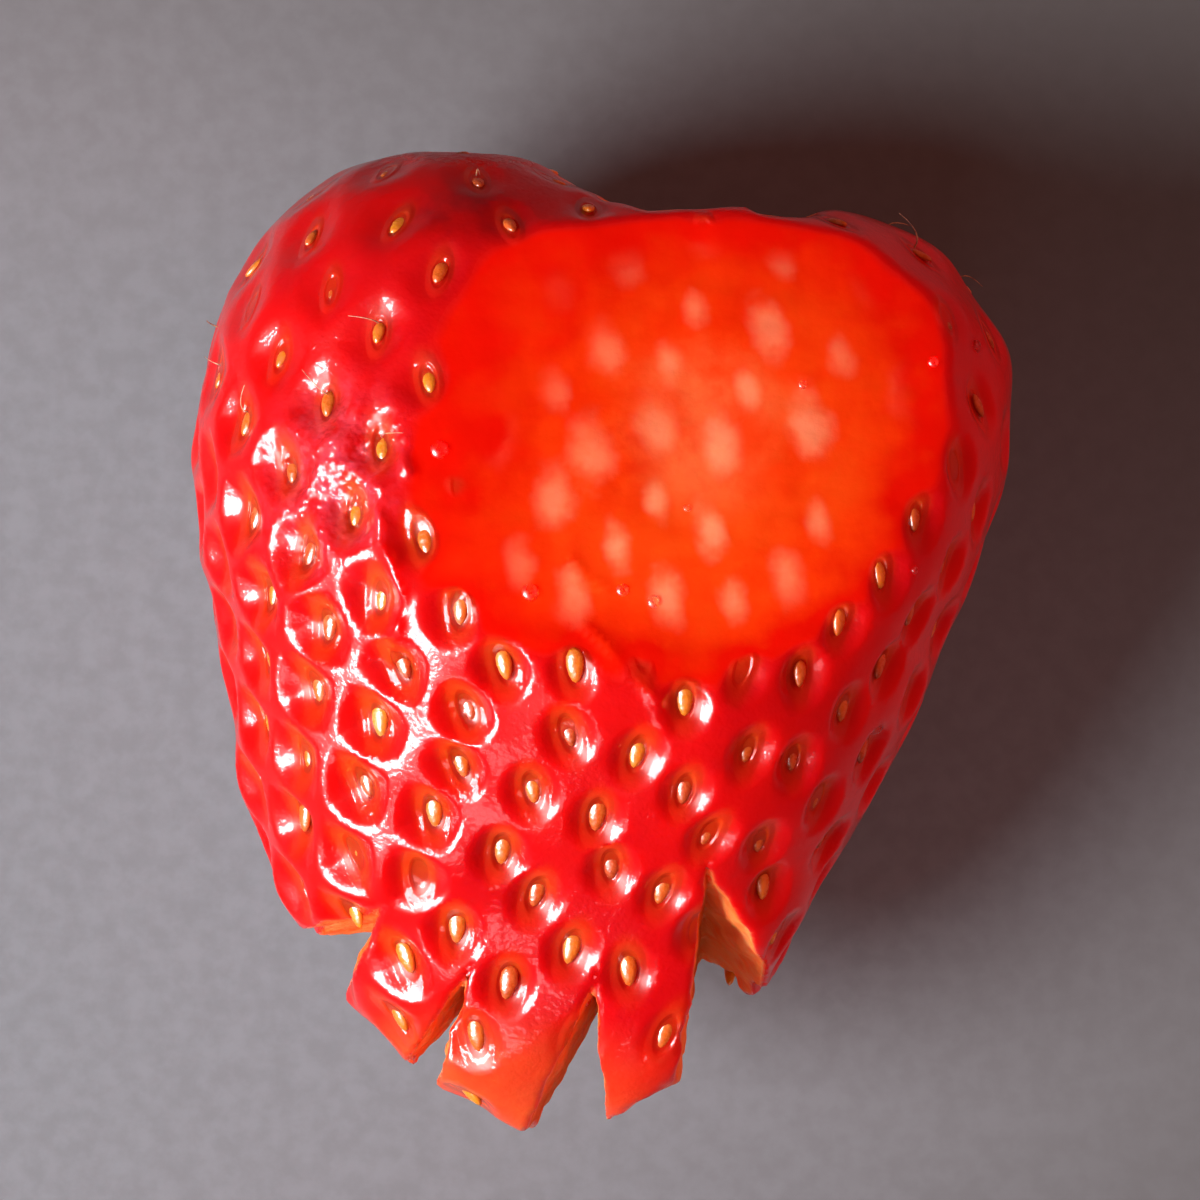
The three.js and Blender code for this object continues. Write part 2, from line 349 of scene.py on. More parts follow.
# %% The cuts
SLICE_MIDDLE = np.array([3.0, 4.0, 28.9])
SLICE_NORMAL = np.array([0.18, 0.23, 1.0])
SLICE_RADIUS = 200.0
SLICE_CENTRE = SLICE_MIDDLE - SLICE_RADIUS * SLICE_NORMAL / np.linalg.norm(SLICE_NORMAL)
MID_HEIGHT = 15.0
SLOTS = [
    {"end": (-10.7, -14.0), "walls": ((-14.9, -14.6), (-12.5, -17.4)), "lean": (0.0, -0.1)},
    {"end": (-5.6, -15.9), "walls": ((-8.8, -20.1), (-7.5, -20.8)), "lean": (0.07, -0.03)},
    {"end": (0.2, -16.9), "walls": ((-2.9, -22.8), (0.3, -23.1)), "lean": (0.08, -0.01)},
    {"end": (4.8, -14.0), "walls": ((3.9, -20.0), (8.1, -17.6)), "lean": (-0.02, -0.27)},
    {"end": (0.2, -23.6), "walls": ((0.2, -26.6), (4.4, -21.3)), "lean": (0.0, 0.0)},
]
STEM_FACETS = [(-3.8, 23.4), (0.1, 21.1), (2.0, 20.5), (6.8, 20.7), (9.6, 25.8)]
SCALLOP_MIDDLE = (8.9, 24.7)
SCALLOP_RADIUS = 4.45
CORE_MOUTH = np.array([3.2, 21.0, 14.6])
CORE_RADIUS = 2.1
CORE_DEPTH = 3.4
CORE_NARROWING = 0.75  # share of its radius that the core's pit loses on the way in
SLICE_EDGE = 0.3
SLOT_EDGE = 0.22
KNIFE_WAVES = [(0.04, 7.0), (0.01, 1.6)]  # height and length of the waves on the slice
WALL_WAVES = [(0.07, 3.0), (0.03, 1.1)]  # the same on the walls of the slots
STEM_WAVE = (0.04, 2.5)  # and at the stem end


def side_of_line(x, y, start, end):
    """Distance to the right of the line from start to end, seen from above."""
    dx, dy = end[0] - start[0], end[1] - start[1]
    return ((x - start[0]) * dy - (y - start[1]) * dx) / math.hypot(dx, dy)


def slice_gap(points):
    """Distance above the dome of the slice, with the faint waves that a knife leaves."""
    gap = np.linalg.norm(points - SLICE_CENTRE, axis=1) - SLICE_RADIUS
    for height, size in KNIFE_WAVES:
        gap = gap + height * noise(points, size)
    return gap


def slot_gap(points, slot):
    """Distance into a slot: positive where the slot is open."""
    down = MID_HEIGHT - points[:, 2]
    x = points[:, 0] - slot["lean"][0] * down
    y = points[:, 1] - slot["lean"][1] * down
    (broad, broad_size), (fine, fine_size) = WALL_WAVES
    rough = broad * noise(points, broad_size) + fine * noise(points + 5.0, fine_size)
    left = side_of_line(x, y, slot["walls"][0], slot["end"])
    right = side_of_line(x, y, slot["end"], slot["walls"][1])
    return np.minimum(left, right) + rough


def stem_gap(points):
    x, y = points[:, 0], points[:, 1]
    sides = [side_of_line(x, y, a, b) for a, b in zip(STEM_FACETS[1:], STEM_FACETS[:-1])]
    scallop = SCALLOP_RADIUS - np.hypot(x - SCALLOP_MIDDLE[0], y - SCALLOP_MIDDLE[1])
    gap = np.maximum(np.minimum.reduce(sides), scallop) + STEM_WAVE[0] * noise(points, STEM_WAVE[1])
    across = np.hypot(x - CORE_MOUTH[0], points[:, 2] - CORE_MOUTH[2])
    into = CORE_MOUTH[1] - y
    cone = CORE_RADIUS * (1 - CORE_NARROWING * np.clip(into / CORE_DEPTH, 0, 1)) - across
    return np.maximum(gap, np.minimum(cone, CORE_DEPTH - into))


def blend_out(a, b, radius):
    """The larger of two fields, rounded where they meet."""
    near = np.clip(radius - np.abs(a - b), 0, None) / radius
    return np.maximum(a, b) + near * near * radius * 0.25


for number, slot in enumerate(SLOTS, 1):
    width = math.dist(*slot["walls"])
    print("wedge", number, "is", round(width, 1), "mm wide at its second points")

# %% [markdown]
# The whole berry is now one question: how far is this point outside it? The answer takes the
# largest of the skin's distance and the cuts'. The skin's has the pits, the noise and one crinkled
# patch in it, and the folds that the knife dragged up, the welts, are raised from the whole. The
# skin keeps a rule of its own, because flesh is red near the skin and paler further in.

# %% The cut berry's rule
SKIN_WAVE = 0.1
SKIN_WAVE_SIZE = 6.5
SKIN_WAVE_BAND = 3  # the waves are only worked out this near to the skin
RESTING_SPAN = (0.2, 2.5)  # z over which the waves start, above where the berry rests
UPPER_LEVEL = 20  # z above which a point is on the upper side
CRINKLE_HEIGHT = 0.09
CRINKLE_SIZE = 1.7
CRINKLE_CENTRE = (-12.6, 7.6, 26.0)
CRINKLE_REACH = (5.2, 6.2, 9.0)
WELT_WIDTH = 0.34
WELTS = [
    (0.36, [(-11.0, 7.0), (-10.4, 4.4), (-9.7, 2.2), (-10.0, -1.0)]),
    (0.34, [(-10.1, 10.2), (-9.7, 9.0), (-9.3, 7.9)]),
    (0.20, [(-0.7, 0.5), (0.8, -1.2), (2.3, -2.7), (3.0, -4.2)]),
    (0.12, [(-1.4, 3.7), (-0.8, 2.8), (0.2, 2.1)]),
]


def welt_height(points):
    """Small raised folds on the upper side, where the knife dragged the skin and the flesh."""
    height = np.zeros(len(points))
    upper = points[:, 2] > UPPER_LEVEL
    plan = points[upper, :2]
    for number, (highest, line) in enumerate(WELTS):
        nearest = np.full(len(plan), 9.0)
        for start, end in zip(np.array(line[:-1]), np.array(line[1:])):
            way = end - start
            run = np.clip((plan - start) @ way / (way @ way), 0, 1)
            nearest = np.minimum(nearest, np.linalg.norm(plan - start - run[:, None] * way, axis=1))
        broken = 0.75 + 0.25 * np.sin(4.0 * plan[:, 1] + 2.0 * plan[:, 0] + number)
        bump = highest * broken * np.exp(-((nearest / WELT_WIDTH) ** 2))
        height[upper] = np.maximum(height[upper], bump)
    return height


def crinkle_height(points):
    """The rubbed patch on the left: sharp small folds, strongest in its middle."""
    away = np.linalg.norm((points - CRINKLE_CENTRE) / CRINKLE_REACH, axis=1)
    folds = 1 - np.abs(noise(points, CRINKLE_SIZE))
    return CRINKLE_HEIGHT * folds * (1 - smoothstep(away, 0.3, 1.0))


def skin_gap(points):
    """Distance outside the pitted skin."""
    field = body_field(points)
    steepness = np.linalg.norm(quick_slope(body_field, points, field), axis=1)
    gap = field / steepness
    near = np.abs(gap) < SKIN_BAND
    height = np.zeros(len(points))
    height[near] = pit_relief(points[near])
    fade = smoothstep(points[:, 2], *RESTING_SPAN)
    wave = SKIN_WAVE * noise(points, SKIN_WAVE_SIZE) * fade * (np.abs(gap) < SKIN_WAVE_BAND)
    return gap - height - wave - crinkle_height(points)


def cut_gap(points):
    gap = slice_gap(points)
    for slot in SLOTS:
        gap = blend_out(gap, slot_gap(points, slot), SLOT_EDGE)
    return blend_out(gap, stem_gap(points), SLOT_EDGE)


def berry_gap(points):
    whole = blend_out(skin_gap(points), cut_gap(points), SLICE_EDGE) - welt_height(points)
    return np.maximum(whole, -points[:, 2])


print("the centre is", -berry_gap(CENTRE[None])[0].round(1), "mm inside")

# %% [markdown]
# A net is drawn over the rule. Space is divided into small cubes, each cube that the surface
# passes through gets one point, and neighbouring points are joined by squares. This is called
# surface nets. It gives even squares, follows the pits and the knife edges alike, and leaves no
# hole. Only the cubes near the surface are worked out in full, which saves most of the time.

# %% Surface nets
CELL = 0.295
COARSE = 4  # cells along a side of the coarse cubes that are tried first
BAND_SHARE = 1.1
BAND_MORE = 0.7  # mm, what the pits and the cuts' edges can add to the band worked out in full
AT_ONCE = 60000  # points


def net_over(rule, low, high, cell):
    shape = np.ceil((high - low) / cell / COARSE).astype(int) * COARSE + 1
    grid = [low[axis] + cell * np.arange(shape[axis]) for axis in range(3)]
    coarse = np.stack(np.meshgrid(*[g[::COARSE] for g in grid], indexing="ij"), axis=-1)
    rough = rule(coarse.reshape(-1, 3)).reshape(coarse.shape[:3])
    nearest = [(np.arange(n) + COARSE // 2) // COARSE for n in shape]
    field = rough[np.ix_(*nearest)]
    band = np.argwhere(np.abs(field) < COARSE * cell * BAND_SHARE + BAND_MORE)
    points = low + cell * band
    parts = np.array_split(points, len(points) // AT_ONCE + 1)
    field[tuple(band.T)] = np.concatenate([rule(part) for part in parts])
    return field


def corners_of(field):
    inside = field < 0
    n = np.array(field.shape) - 1
    offsets = np.array([(i, j, k) for i in (0, 1) for j in (0, 1) for k in (0, 1)])
    count = sum(inside[i : i + n[0], j : j + n[1], k : k + n[2]].astype(int) for i, j, k in offsets)
    return inside, offsets, np.argwhere((count > 0) & (count < 8))


def surface_net(field, low, cell):
    inside, offsets, cells = corners_of(field)
    values = np.stack([field[tuple((cells + o).T)] for o in offsets], axis=1)
    total, count = np.zeros((len(cells), 3)), np.zeros(len(cells))
    for a in range(8):
        for b in range(a + 1, 8):
            if np.abs(offsets[a] - offsets[b]).sum() != 1:
                continue
            crosses = (values[:, a] < 0) != (values[:, b] < 0)
            span = np.where(crosses, values[:, a] - values[:, b], 1.0)
            share = (values[:, a] / span)[:, None]
            total += np.where(crosses[:, None], offsets[a] + share * (offsets[b] - offsets[a]), 0)
            count += crosses
    vertices = low + cell * (cells + total / count[:, None])
    number = np.full(np.array(field.shape) - 1, -1)
    number[tuple(cells.T)] = np.arange(len(cells))
    faces = []
    for axis, u, v in ((0, 1, 2), (1, 2, 0), (2, 0, 1)):
        sides = np.moveaxis(inside, (axis, u, v), (0, 1, 2))
        cube = np.moveaxis(number, (axis, u, v), (0, 1, 2))
        below, above = sides[:-1, 1:-1, 1:-1], sides[1:, 1:-1, 1:-1]
        for leaves in (True, False):
            i, j, k = np.nonzero((below != above) & (below == leaves))
            j, k = j + 1, k + 1
            quad = [cube[i, j - 1, k - 1], cube[i, j, k - 1], cube[i, j, k], cube[i, j - 1, k]]
            faces.append(np.stack(quad if leaves else quad[::-1], axis=1))
    return vertices, np.concatenate(faces)


def settle(points, rule, cell, rounds=2):
    """Moves each point of the net straight onto the rule's surface, by a part of a cell at most."""
    start = points.copy()
    for _ in range(rounds):
        gap = rule(points)
        slope = quick_slope(rule, points, gap)
        size = np.maximum((slope**2).sum(axis=1), 0.2)
        points = points - (gap / size)[:, None] * slope
        moved = points - start
        far = np.linalg.norm(moved, axis=1, keepdims=True)
        points = start + moved * np.minimum(1, 0.5 * cell / np.maximum(far, 1e-9))
    return points


MARGIN = 1.5
GROUND_CELLS = 3.37  # how far under the floor the net starts, so that no cube's corner lies on it
solid_low, solid_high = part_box("strawberry")
net_low = np.array(solid_low) / MM - MARGIN
net_high = np.array(solid_high) / MM + MARGIN
net_low[2] = -GROUND_CELLS * CELL
field = net_over(berry_gap, net_low, net_high, CELL)
NET_POINTS, NET_FACES = surface_net(field, net_low, CELL)
NET_POINTS = settle(NET_POINTS, berry_gap, CELL)
NET_POINTS[:, 2] = np.maximum(NET_POINTS[:, 2], 0)
print("net:", len(NET_POINTS), "points,", 2 * len(NET_FACES), "triangles")

# %% [markdown]
# The colours need to know more than where a point is. Five numbers are stored on each point of
# the net as attributes: how deep under the skin it was before the cut, the same with more for the
# pale walls of the slots, how deep the pits are there, whether it is on such a wall, and how near
# it is to one of the pale threads that feed the seeds from the core. The slice cuts across the
# threads, and each shows as a pale dot. A point's place beside the nearest seed is stored
# for each corner of a face, so that a pattern round one seed never runs into the next. The way
# the surface faces comes from the rule too, which shades more evenly than the net's own faces.

# %% Numbers stored on the net
CORE = np.array([1.5, 2.5, 11.0])
THREAD_PULL = np.array([0.12, 0.35, 0.0])
THREAD_STRETCH = 0.55  # threads are cut at a slant, so their dots are this much narrower than long
THREAD_SLANT = unit(np.array([[-0.15, 1.0, 0.0]]))[0]
THREADS_MISSED = 0.1  # share of the threads too thin to show
MISSED_THICKNESS = 0.05
LEAST_THICKNESS = 0.6
MORE_THICKNESS = 0.6
CUT_DEPTH = 0.15  # mm under the skin, from which a point counts as cut
WALL_BLEND = 0.3  # mm over which the slice turns into a wall
SLOT_DEPTH_BONUS = 3.2  # the walls of the slots look as pale as flesh this much deeper, partly as painted light
FAR = 9.0
NORMAL_STEP = 0.12  # mm, how far apart the rule is asked for the way the surface faces


def thread_distance(points):
    """Distance to the nearest thread between a seed and the core, less for a thick thread."""
    root = CORE + (PLACES - CORE) * THREAD_PULL
    way = unit(root - PLACES)
    draws = repeatable_draws(DRAW_SEED + 2, len(PLACES))
    shown = LEAST_THICKNESS + MORE_THICKNESS * draws
    thickness = np.where(draws < THREADS_MISSED, MISSED_THICKNESS, shown)
    nearest = np.full(len(points), 99.0)
    for place, direction, end, thick in zip(PLACES, way, root, thickness):
        offset = points - place
        run = np.clip(offset @ direction, 0, np.linalg.norm(end - place))
        side = offset - run[:, None] * direction
        slanted = (side @ THREAD_SLANT) ** 2 * (1 - THREAD_STRETCH**2)
        distance = np.sqrt(np.maximum((side**2).sum(axis=1) - slanted, 0))
        nearest = np.minimum(nearest, distance / thick)
    return nearest


def slot_share(points):
    """1 on the walls of the slots and the stem facets, 0 on the slice."""
    gaps = [slot_gap(points, slot) for slot in SLOTS] + [stem_gap(points)]
    return smoothstep(np.maximum.reduce(gaps) - slice_gap(points), -WALL_BLEND, WALL_BLEND)


def place_by_seed(berry):
    """For each corner of each face, its place along and across the seed nearest to the face."""
    middles = NET_POINTS[NET_FACES].mean(axis=1)
    seeds = two_nearest(middles, PLACES)[0]
    offsets = [middles - PLACES[pair] for pair in seeds.T]
    nearer = np.linalg.norm(offsets[0], axis=1) > np.linalg.norm(offsets[1], axis=1)
    chosen = np.where(nearer, seeds[:, 1], seeds[:, 0])
    offset = NET_POINTS[NET_FACES] - PLACES[chosen][:, None]
    along = (offset * ALONG[chosen][:, None]).sum(axis=2) / SIZES[chosen][:, None]
    across = (offset * ACROSS[chosen][:, None]).sum(axis=2) / SIZES[chosen][:, None]
    place = np.stack([along, across, np.zeros_like(along)], axis=2)
    attribute = berry.data.attributes.new("by_seed", "FLOAT_VECTOR", "CORNER")
    attribute.data.foreach_set("vector", place.astype(np.float32).ravel())


def store(mesh, name, values):
    attribute = mesh.attributes.new(name, "FLOAT", "POINT")
    attribute.data.foreach_set("value", np.asarray(values, dtype=np.float32))


def mesh_from(name, points, faces):
    mesh = bpy.data.meshes.new(name)
    mesh.from_pydata((points * MM).tolist(), [], faces.tolist())
    mesh.polygons.foreach_set("use_smooth", np.ones(len(faces), dtype=bool))
    mesh.update()
    piece = bpy.data.objects.new(name, mesh)
    bpy.context.scene.collection.objects.link(piece)
    return piece


def make_berry():
    berry = mesh_from("berry", NET_POINTS, NET_FACES)
    outward = unit(quick_slope(berry_gap, NET_POINTS, berry_gap(NET_POINTS), NORMAL_STEP))
    berry.data.normals_split_custom_set_from_vertices(outward.tolist())
    depth = np.clip(-skin_gap(NET_POINTS), 0, None)
    cut = depth > CUT_DEPTH
    walls = slot_share(NET_POINTS)
    threads = np.full(len(NET_POINTS), FAR)
    threads[cut] = thread_distance(NET_POINTS[cut])
    store(berry.data, "depth", depth)
    store(berry.data, "flesh_depth", depth + SLOT_DEPTH_BONUS * walls * cut)
    store(berry.data, "pit_share", pit_depth(NET_POINTS) / PIT_DEPTH)
    store(berry.data, "thread", threads + walls)
    store(berry.data, "wall", walls * cut)
    place_by_seed(berry)
    print("cut surface:", round(100 * cut.mean()), "% of the net, deepest", depth.max().round(1), "mm")
    return berry


berry = make_berry()

# %% [markdown]
# The seeds, the dry styles and the drops each repeat one small shape, so Geometry Nodes set them.
# Their three trees share a few helpers. A tree starts from points that know which way is out of the
# skin, turns the shape to match, and varies its size a little. Realize Instances at the end makes
# each copy real, so that the piece can leave Blender as a plain mesh.

# %% Node helpers
def new_tree(name, inputs):
    tree = bpy.data.node_groups.new(name, "GeometryNodeTree")
    tree.interface.new_socket("Geometry", in_out="INPUT", socket_type="NodeSocketGeometry")
    for label, kind, value in inputs:
        socket = tree.interface.new_socket(label, in_out="INPUT", socket_type=kind)
        socket.default_value = value
    tree.interface.new_socket("Geometry", in_out="OUTPUT", socket_type="NodeSocketGeometry")
    return tree


def put(tree, kind, inputs=None, **settings):
    """Adds a node. An input is given by its name or number, as a value or as another socket."""
    node = tree.nodes.new(kind)
    for key, value in settings.items():
        setattr(node, key, value)
    for key, value in (inputs or {}).items():
        socket = node.inputs[key]
        if isinstance(value, bpy.types.NodeSocket):
            tree.links.new(value, socket)
        else:
            socket.default_value = value
    return node


def math_node(tree, operation, a, b=None, clamp=False):
    inputs = {0: a} if b is None else {0: a, 1: b}
    return put(tree, "ShaderNodeMath", inputs, operation=operation, use_clamp=clamp).outputs[0]


def named(tree, name, kind="FLOAT"):
    """What is stored on a point under a name."""
    node = put(tree, "GeometryNodeInputNamedAttribute", {"Name": name}, data_type=kind)
    return node.outputs["Attribute"]


def turn_by_point(tree):
    """Turns a copy's Z to the way out of the skin, and its Y to the way along."""
    ways = {0: named(tree, "out", "FLOAT_VECTOR"), 1: named(tree, "along", "FLOAT_VECTOR")}
    settings = {"primary_axis": "Z", "secondary_axis": "Y"}
    return put(tree, "FunctionNodeAxesToRotation", ways, **settings).outputs[0]


def random_size(tree, least, most, seed):
    given = {"Min": least, "Max": most, "Seed": seed}
    node = put(tree, "FunctionNodeRandomValue", given, data_type="FLOAT")
    return [output for output in node.outputs if output.enabled and output.type == "VALUE"][0]


def set_on_points(tree, points, shape, turn, size, material):
    """Sets a copy of the shape on each point, makes the copies real, and ends the tree."""
    copies = put(
        tree,
        "GeometryNodeInstanceOnPoints",
        {"Points": points, "Instance": shape, "Rotation": turn, "Scale": size},
    )
    real = put(tree, "GeometryNodeRealizeInstances", {"Geometry": copies.outputs[0]})
    given = {"Geometry": real.outputs[0], "Material": material}
    finished = put(tree, "GeometryNodeSetMaterial", given)
    put(tree, "NodeGroupOutput", {"Geometry": finished.outputs[0]})


def set_inputs(modifier, values):
    for item in modifier.node_group.interface.items_tree:
        if item.item_type == "SOCKET" and item.in_out == "INPUT" and item.name in values:
            modifier[item.identifier] = values[item.name]


def grown(source, tree, name, values):
    """Runs a tree on a source object and returns its result as a plain mesh object."""
    modifier = source.modifiers.new("grow", "NODES")
    modifier.node_group = tree
    set_inputs(modifier, values)
    depsgraph = bpy.context.evaluated_depsgraph_get()
    mesh = bpy.data.meshes.new_from_object(source.evaluated_get(depsgraph), depsgraph=depsgraph)
    source.modifiers.remove(modifier)
    piece = bpy.data.objects.new(name, mesh)
    bpy.context.scene.collection.objects.link(piece)
    return piece


def points_object(name, points, vectors, floats):
    mesh = bpy.data.meshes.new(name)
    mesh.from_pydata((points * MM).tolist(), [], [])
    for label, values in vectors.items():
        attribute = mesh.attributes.new(label, "FLOAT_VECTOR", "POINT")
        attribute.data.foreach_set("vector", np.asarray(values, dtype=np.float32).ravel())
    for label, values in floats.items():
        store(mesh, label, values)
    holder = bpy.data.objects.new(name, mesh)
    bpy.context.scene.collection.objects.link(holder)
    return holder


print("numbers stored on the berry:", [item.name for item in berry.data.attributes][-6:])

# %% [markdown]
# The seed's shape is a ball of few faces that the tree squeezes into a pointed oval: long, half as
# wide, flatter still, and narrower at its lower end. Its own long coordinate is stored on it before
# it is copied, so that the material can darken one end.

# %% The seeds' tree
SEED_HEIGHT = 0.46
SEED_TAPER = 0.45
SEED_VARIATION = 0.1


def seed_tree(material):
    tree = new_tree(
        "seeds",
        [
            ("Length", "NodeSocketFloat", SEED_LENGTH * MM),
            ("Width", "NodeSocketFloat", SEED_WIDTH * MM),
            ("Height", "NodeSocketFloat", SEED_HEIGHT * MM),
            ("Taper", "NodeSocketFloat", SEED_TAPER),
            ("Variation", "NodeSocketFloat", SEED_VARIATION),
            ("Random Seed", "NodeSocketInt", 3),
        ],
    )
    given = put(tree, "NodeGroupInput").outputs
    ball = put(tree, "GeometryNodeMeshUVSphere", {"Segments": 12, "Rings": 6, "Radius": 0.5})
    place = put(tree, "GeometryNodeInputPosition").outputs[0]
    xyz = put(tree, "ShaderNodeSeparateXYZ", {0: place}).outputs
    end = math_node(tree, "MULTIPLY", xyz["Y"], given["Taper"])
    narrow = math_node(tree, "MULTIPLY", math_node(tree, "ADD", 1.0, end), given["Width"])
    wide = math_node(tree, "MULTIPLY", xyz["X"], narrow)
    long = math_node(tree, "MULTIPLY", xyz["Y"], given["Length"])
    high = math_node(tree, "MULTIPLY", xyz["Z"], given["Height"])
    shaped = put(tree, "ShaderNodeCombineXYZ", {"X": wide, "Y": long, "Z": high})
    marked = put(
        tree,
        "GeometryNodeStoreNamedAttribute",
        {"Geometry": ball.outputs["Mesh"], "Name": "seed_along", "Value": xyz["Y"]},
        data_type="FLOAT",
        domain="POINT",
    )
    shape = put(
        tree,
        "GeometryNodeSetPosition",
        {"Geometry": marked.outputs[0], "Position": shaped.outputs[0]},
    )
    smooth = put(tree, "GeometryNodeSetShadeSmooth", {"Geometry": shape.outputs[0]})
    least = math_node(tree, "SUBTRACT", 1.0, given["Variation"])
    most = math_node(tree, "ADD", 1.0, given["Variation"])
    varied = random_size(tree, least, most, given["Random Seed"])
    size = math_node(tree, "MULTIPLY", varied, named(tree, "size"))
    points = given["Geometry"]
    set_on_points(tree, points, smooth.outputs[0], turn_by_point(tree), size, material)
    return tree


print("a seed is", SEED_LENGTH, "by", SEED_WIDTH, "by", SEED_HEIGHT, "mm")

# %% [markdown]
# A material here is built from a few small helpers. A colour that changes over the surface
# comes from the stored numbers or from noise on Object coordinates, so it stays with the berry
# whichever way the berry is seen. Every finish here is mottled, so the mottling is a node group,
# built once: it takes a size in millimetres and gives soft noise between 0 and 1. Its share along
# the berry, below 1, draws the noise out into fibres.

# %% Material helpers
def new_material(name):
    material = bpy.data.materials.new(name)
    material.use_nodes = True
    tree = material.node_tree
    shader = tree.nodes["Principled BSDF"]
    return material, tree, shader


def stored(tree, name):
    return put(tree, "ShaderNodeAttribute", attribute_name=name).outputs["Fac"]


def ramp(tree, factor, stops):
    node = put(tree, "ShaderNodeValToRGB", {"Fac": factor})
    elements = node.color_ramp.elements
    while len(elements) < len(stops):
        elements.new(0.5)
    for element, (position, colour) in zip(elements, stops):
        element.position = position
        element.color = (*colour, 1.0)
    return node.outputs["Color"]


def between(tree, value, low, high, to_low=0.0, to_high=1.0):
    node = put(
        tree,
        "ShaderNodeMapRange",
        {"Value": value, "From Min": low, "From Max": high, "To Min": to_low, "To Max": to_high},
        interpolation_type="SMOOTHSTEP",
    )
    return node.outputs["Result"]


def mix(tree, factor, a, b):
    """Mixes two colours, each given as three numbers or as a socket."""
    node = put(tree, "ShaderNodeMix", {0: factor}, data_type="RGBA")
    for index, value in ((6, a), (7, b)):
        if isinstance(value, bpy.types.NodeSocket):
            tree.links.new(value, node.inputs[index])
        else:
            node.inputs[index].default_value = (*value, 1.0)
    return node.outputs[2]


def mottle_group():
    group = bpy.data.node_groups.new("mottle", "ShaderNodeTree")
    inputs = [("Size mm", 1.0), ("Detail", 3.0), ("Roughness", 0.55), ("Along Share", 1.0)]
    for label, value in inputs:
        socket = group.interface.new_socket(label, in_out="INPUT", socket_type="NodeSocketFloat")
        socket.default_value = value
    group.interface.new_socket("Value", in_out="OUTPUT", socket_type="NodeSocketFloat")
    given = put(group, "NodeGroupInput").outputs
    place = put(group, "ShaderNodeTexCoord").outputs["Object"]
    rate = math_node(group, "DIVIDE", 1 / MM, given["Size mm"])
    scaled = put(group, "ShaderNodeVectorMath", {0: place, 3: rate}, operation="SCALE")
    share = put(group, "ShaderNodeCombineXYZ", {"X": 1.0, "Y": given["Along Share"], "Z": 1.0})
    drawn_out = put(
        group,
        "ShaderNodeVectorMath",
        {0: scaled.outputs[0], 1: share.outputs[0]},
        operation="MULTIPLY",
    )
    waves_node = put(
        group,
        "ShaderNodeTexNoise",
        {
            "Vector": drawn_out.outputs[0],
            "Scale": 1.0,
            "Detail": given["Detail"],
            "Roughness": given["Roughness"],
        },
    )
    stretched = between(group, waves_node.outputs["Fac"], 0.3, 0.7)
    put(group, "NodeGroupOutput", {"Value": stretched})
    return group


MOTTLE = mottle_group()


def noise_between(tree, size_mm, low, high, detail=3.0, roughness=0.55, along=1.0):
    """Mottling with features of a size in millimetres, from a low to a high value."""
    node = put(tree, "ShaderNodeGroup", node_tree=MOTTLE)
    given = {"Size mm": size_mm, "Detail": detail, "Roughness": roughness, "Along Share": along}
    for label, value in given.items():
        node.inputs[label].default_value = value
    scaled = put(
        tree,
        "ShaderNodeMapRange",
        {"Value": node.outputs["Value"], "To Min": low, "To Max": high},
    )
    return scaled.outputs["Result"]


def spot(tree, centre_mm, reach_mm):
    """1 at a place on the piece, fading to 0 at its reach, which may differ along each axis."""
    place = put(tree, "ShaderNodeTexCoord").outputs["Object"]
    moved = put(
        tree,
        "ShaderNodeMapping",
        {"Vector": place, "Location": [-c / r for c, r in zip(centre_mm, reach_mm)]},
    )
    moved.inputs["Scale"].default_value = [1 / (r * MM) for r in reach_mm]
    distance = put(tree, "ShaderNodeVectorMath", {0: moved.outputs[0]}, operation="LENGTH")
    return between(tree, distance.outputs["Value"], 1.0, 0.2)


print("shared by the materials:", MOTTLE.name, "with", len(MOTTLE.nodes), "nodes")

# %% [markdown]
# Skin and flesh are one material, because they are one wet body and the eye sees one turn into
# the other. The depth under the old skin picks the colour: blood red at the skin, orange two
# millimetres in, and pale orange deeper. The heart of the slice is paler still, the walls of the
# slots show fibres, and each thread that the slice cuts is a pale dot.

# %% Flesh colours
FLESH_RED = (0.72, 0.005, 0.0008)
FLESH_ORANGE = (0.82, 0.048, 0.002)
FLESH_PALE = (0.84, 0.095, 0.006)
HEART_PALE = (0.88, 0.34, 0.12)
THREAD_PALE = (0.88, 0.38, 0.19)
WALL_PALE_AND_PAINTED_LIGHT = (0.82, 0.20, 0.06)
BRUISE_RED = (0.66, 0.012, 0.002)
DEPTH_RANGE = 8.0
LEAST_PALE = 0.1  # share of the deeper flesh's colour that the red left side still has
FIBRE_SHARE = 0.14  # the fibres of the flesh are this much finer across than along the berry
PALE_CENTRE = (6.5, 8.0, 27.0)
PALE_REACH = (19.0, 17.0, 40.0)
HEART_CENTRE = (4.8, 10.6, 27.0)
HEART_REACH = (5.5, 6.0, 20.0)
BRUISE_CENTRE = (0.9, 8.6, 28.0)
BRUISE_REACH = (2.4, 3.4, 8.0)


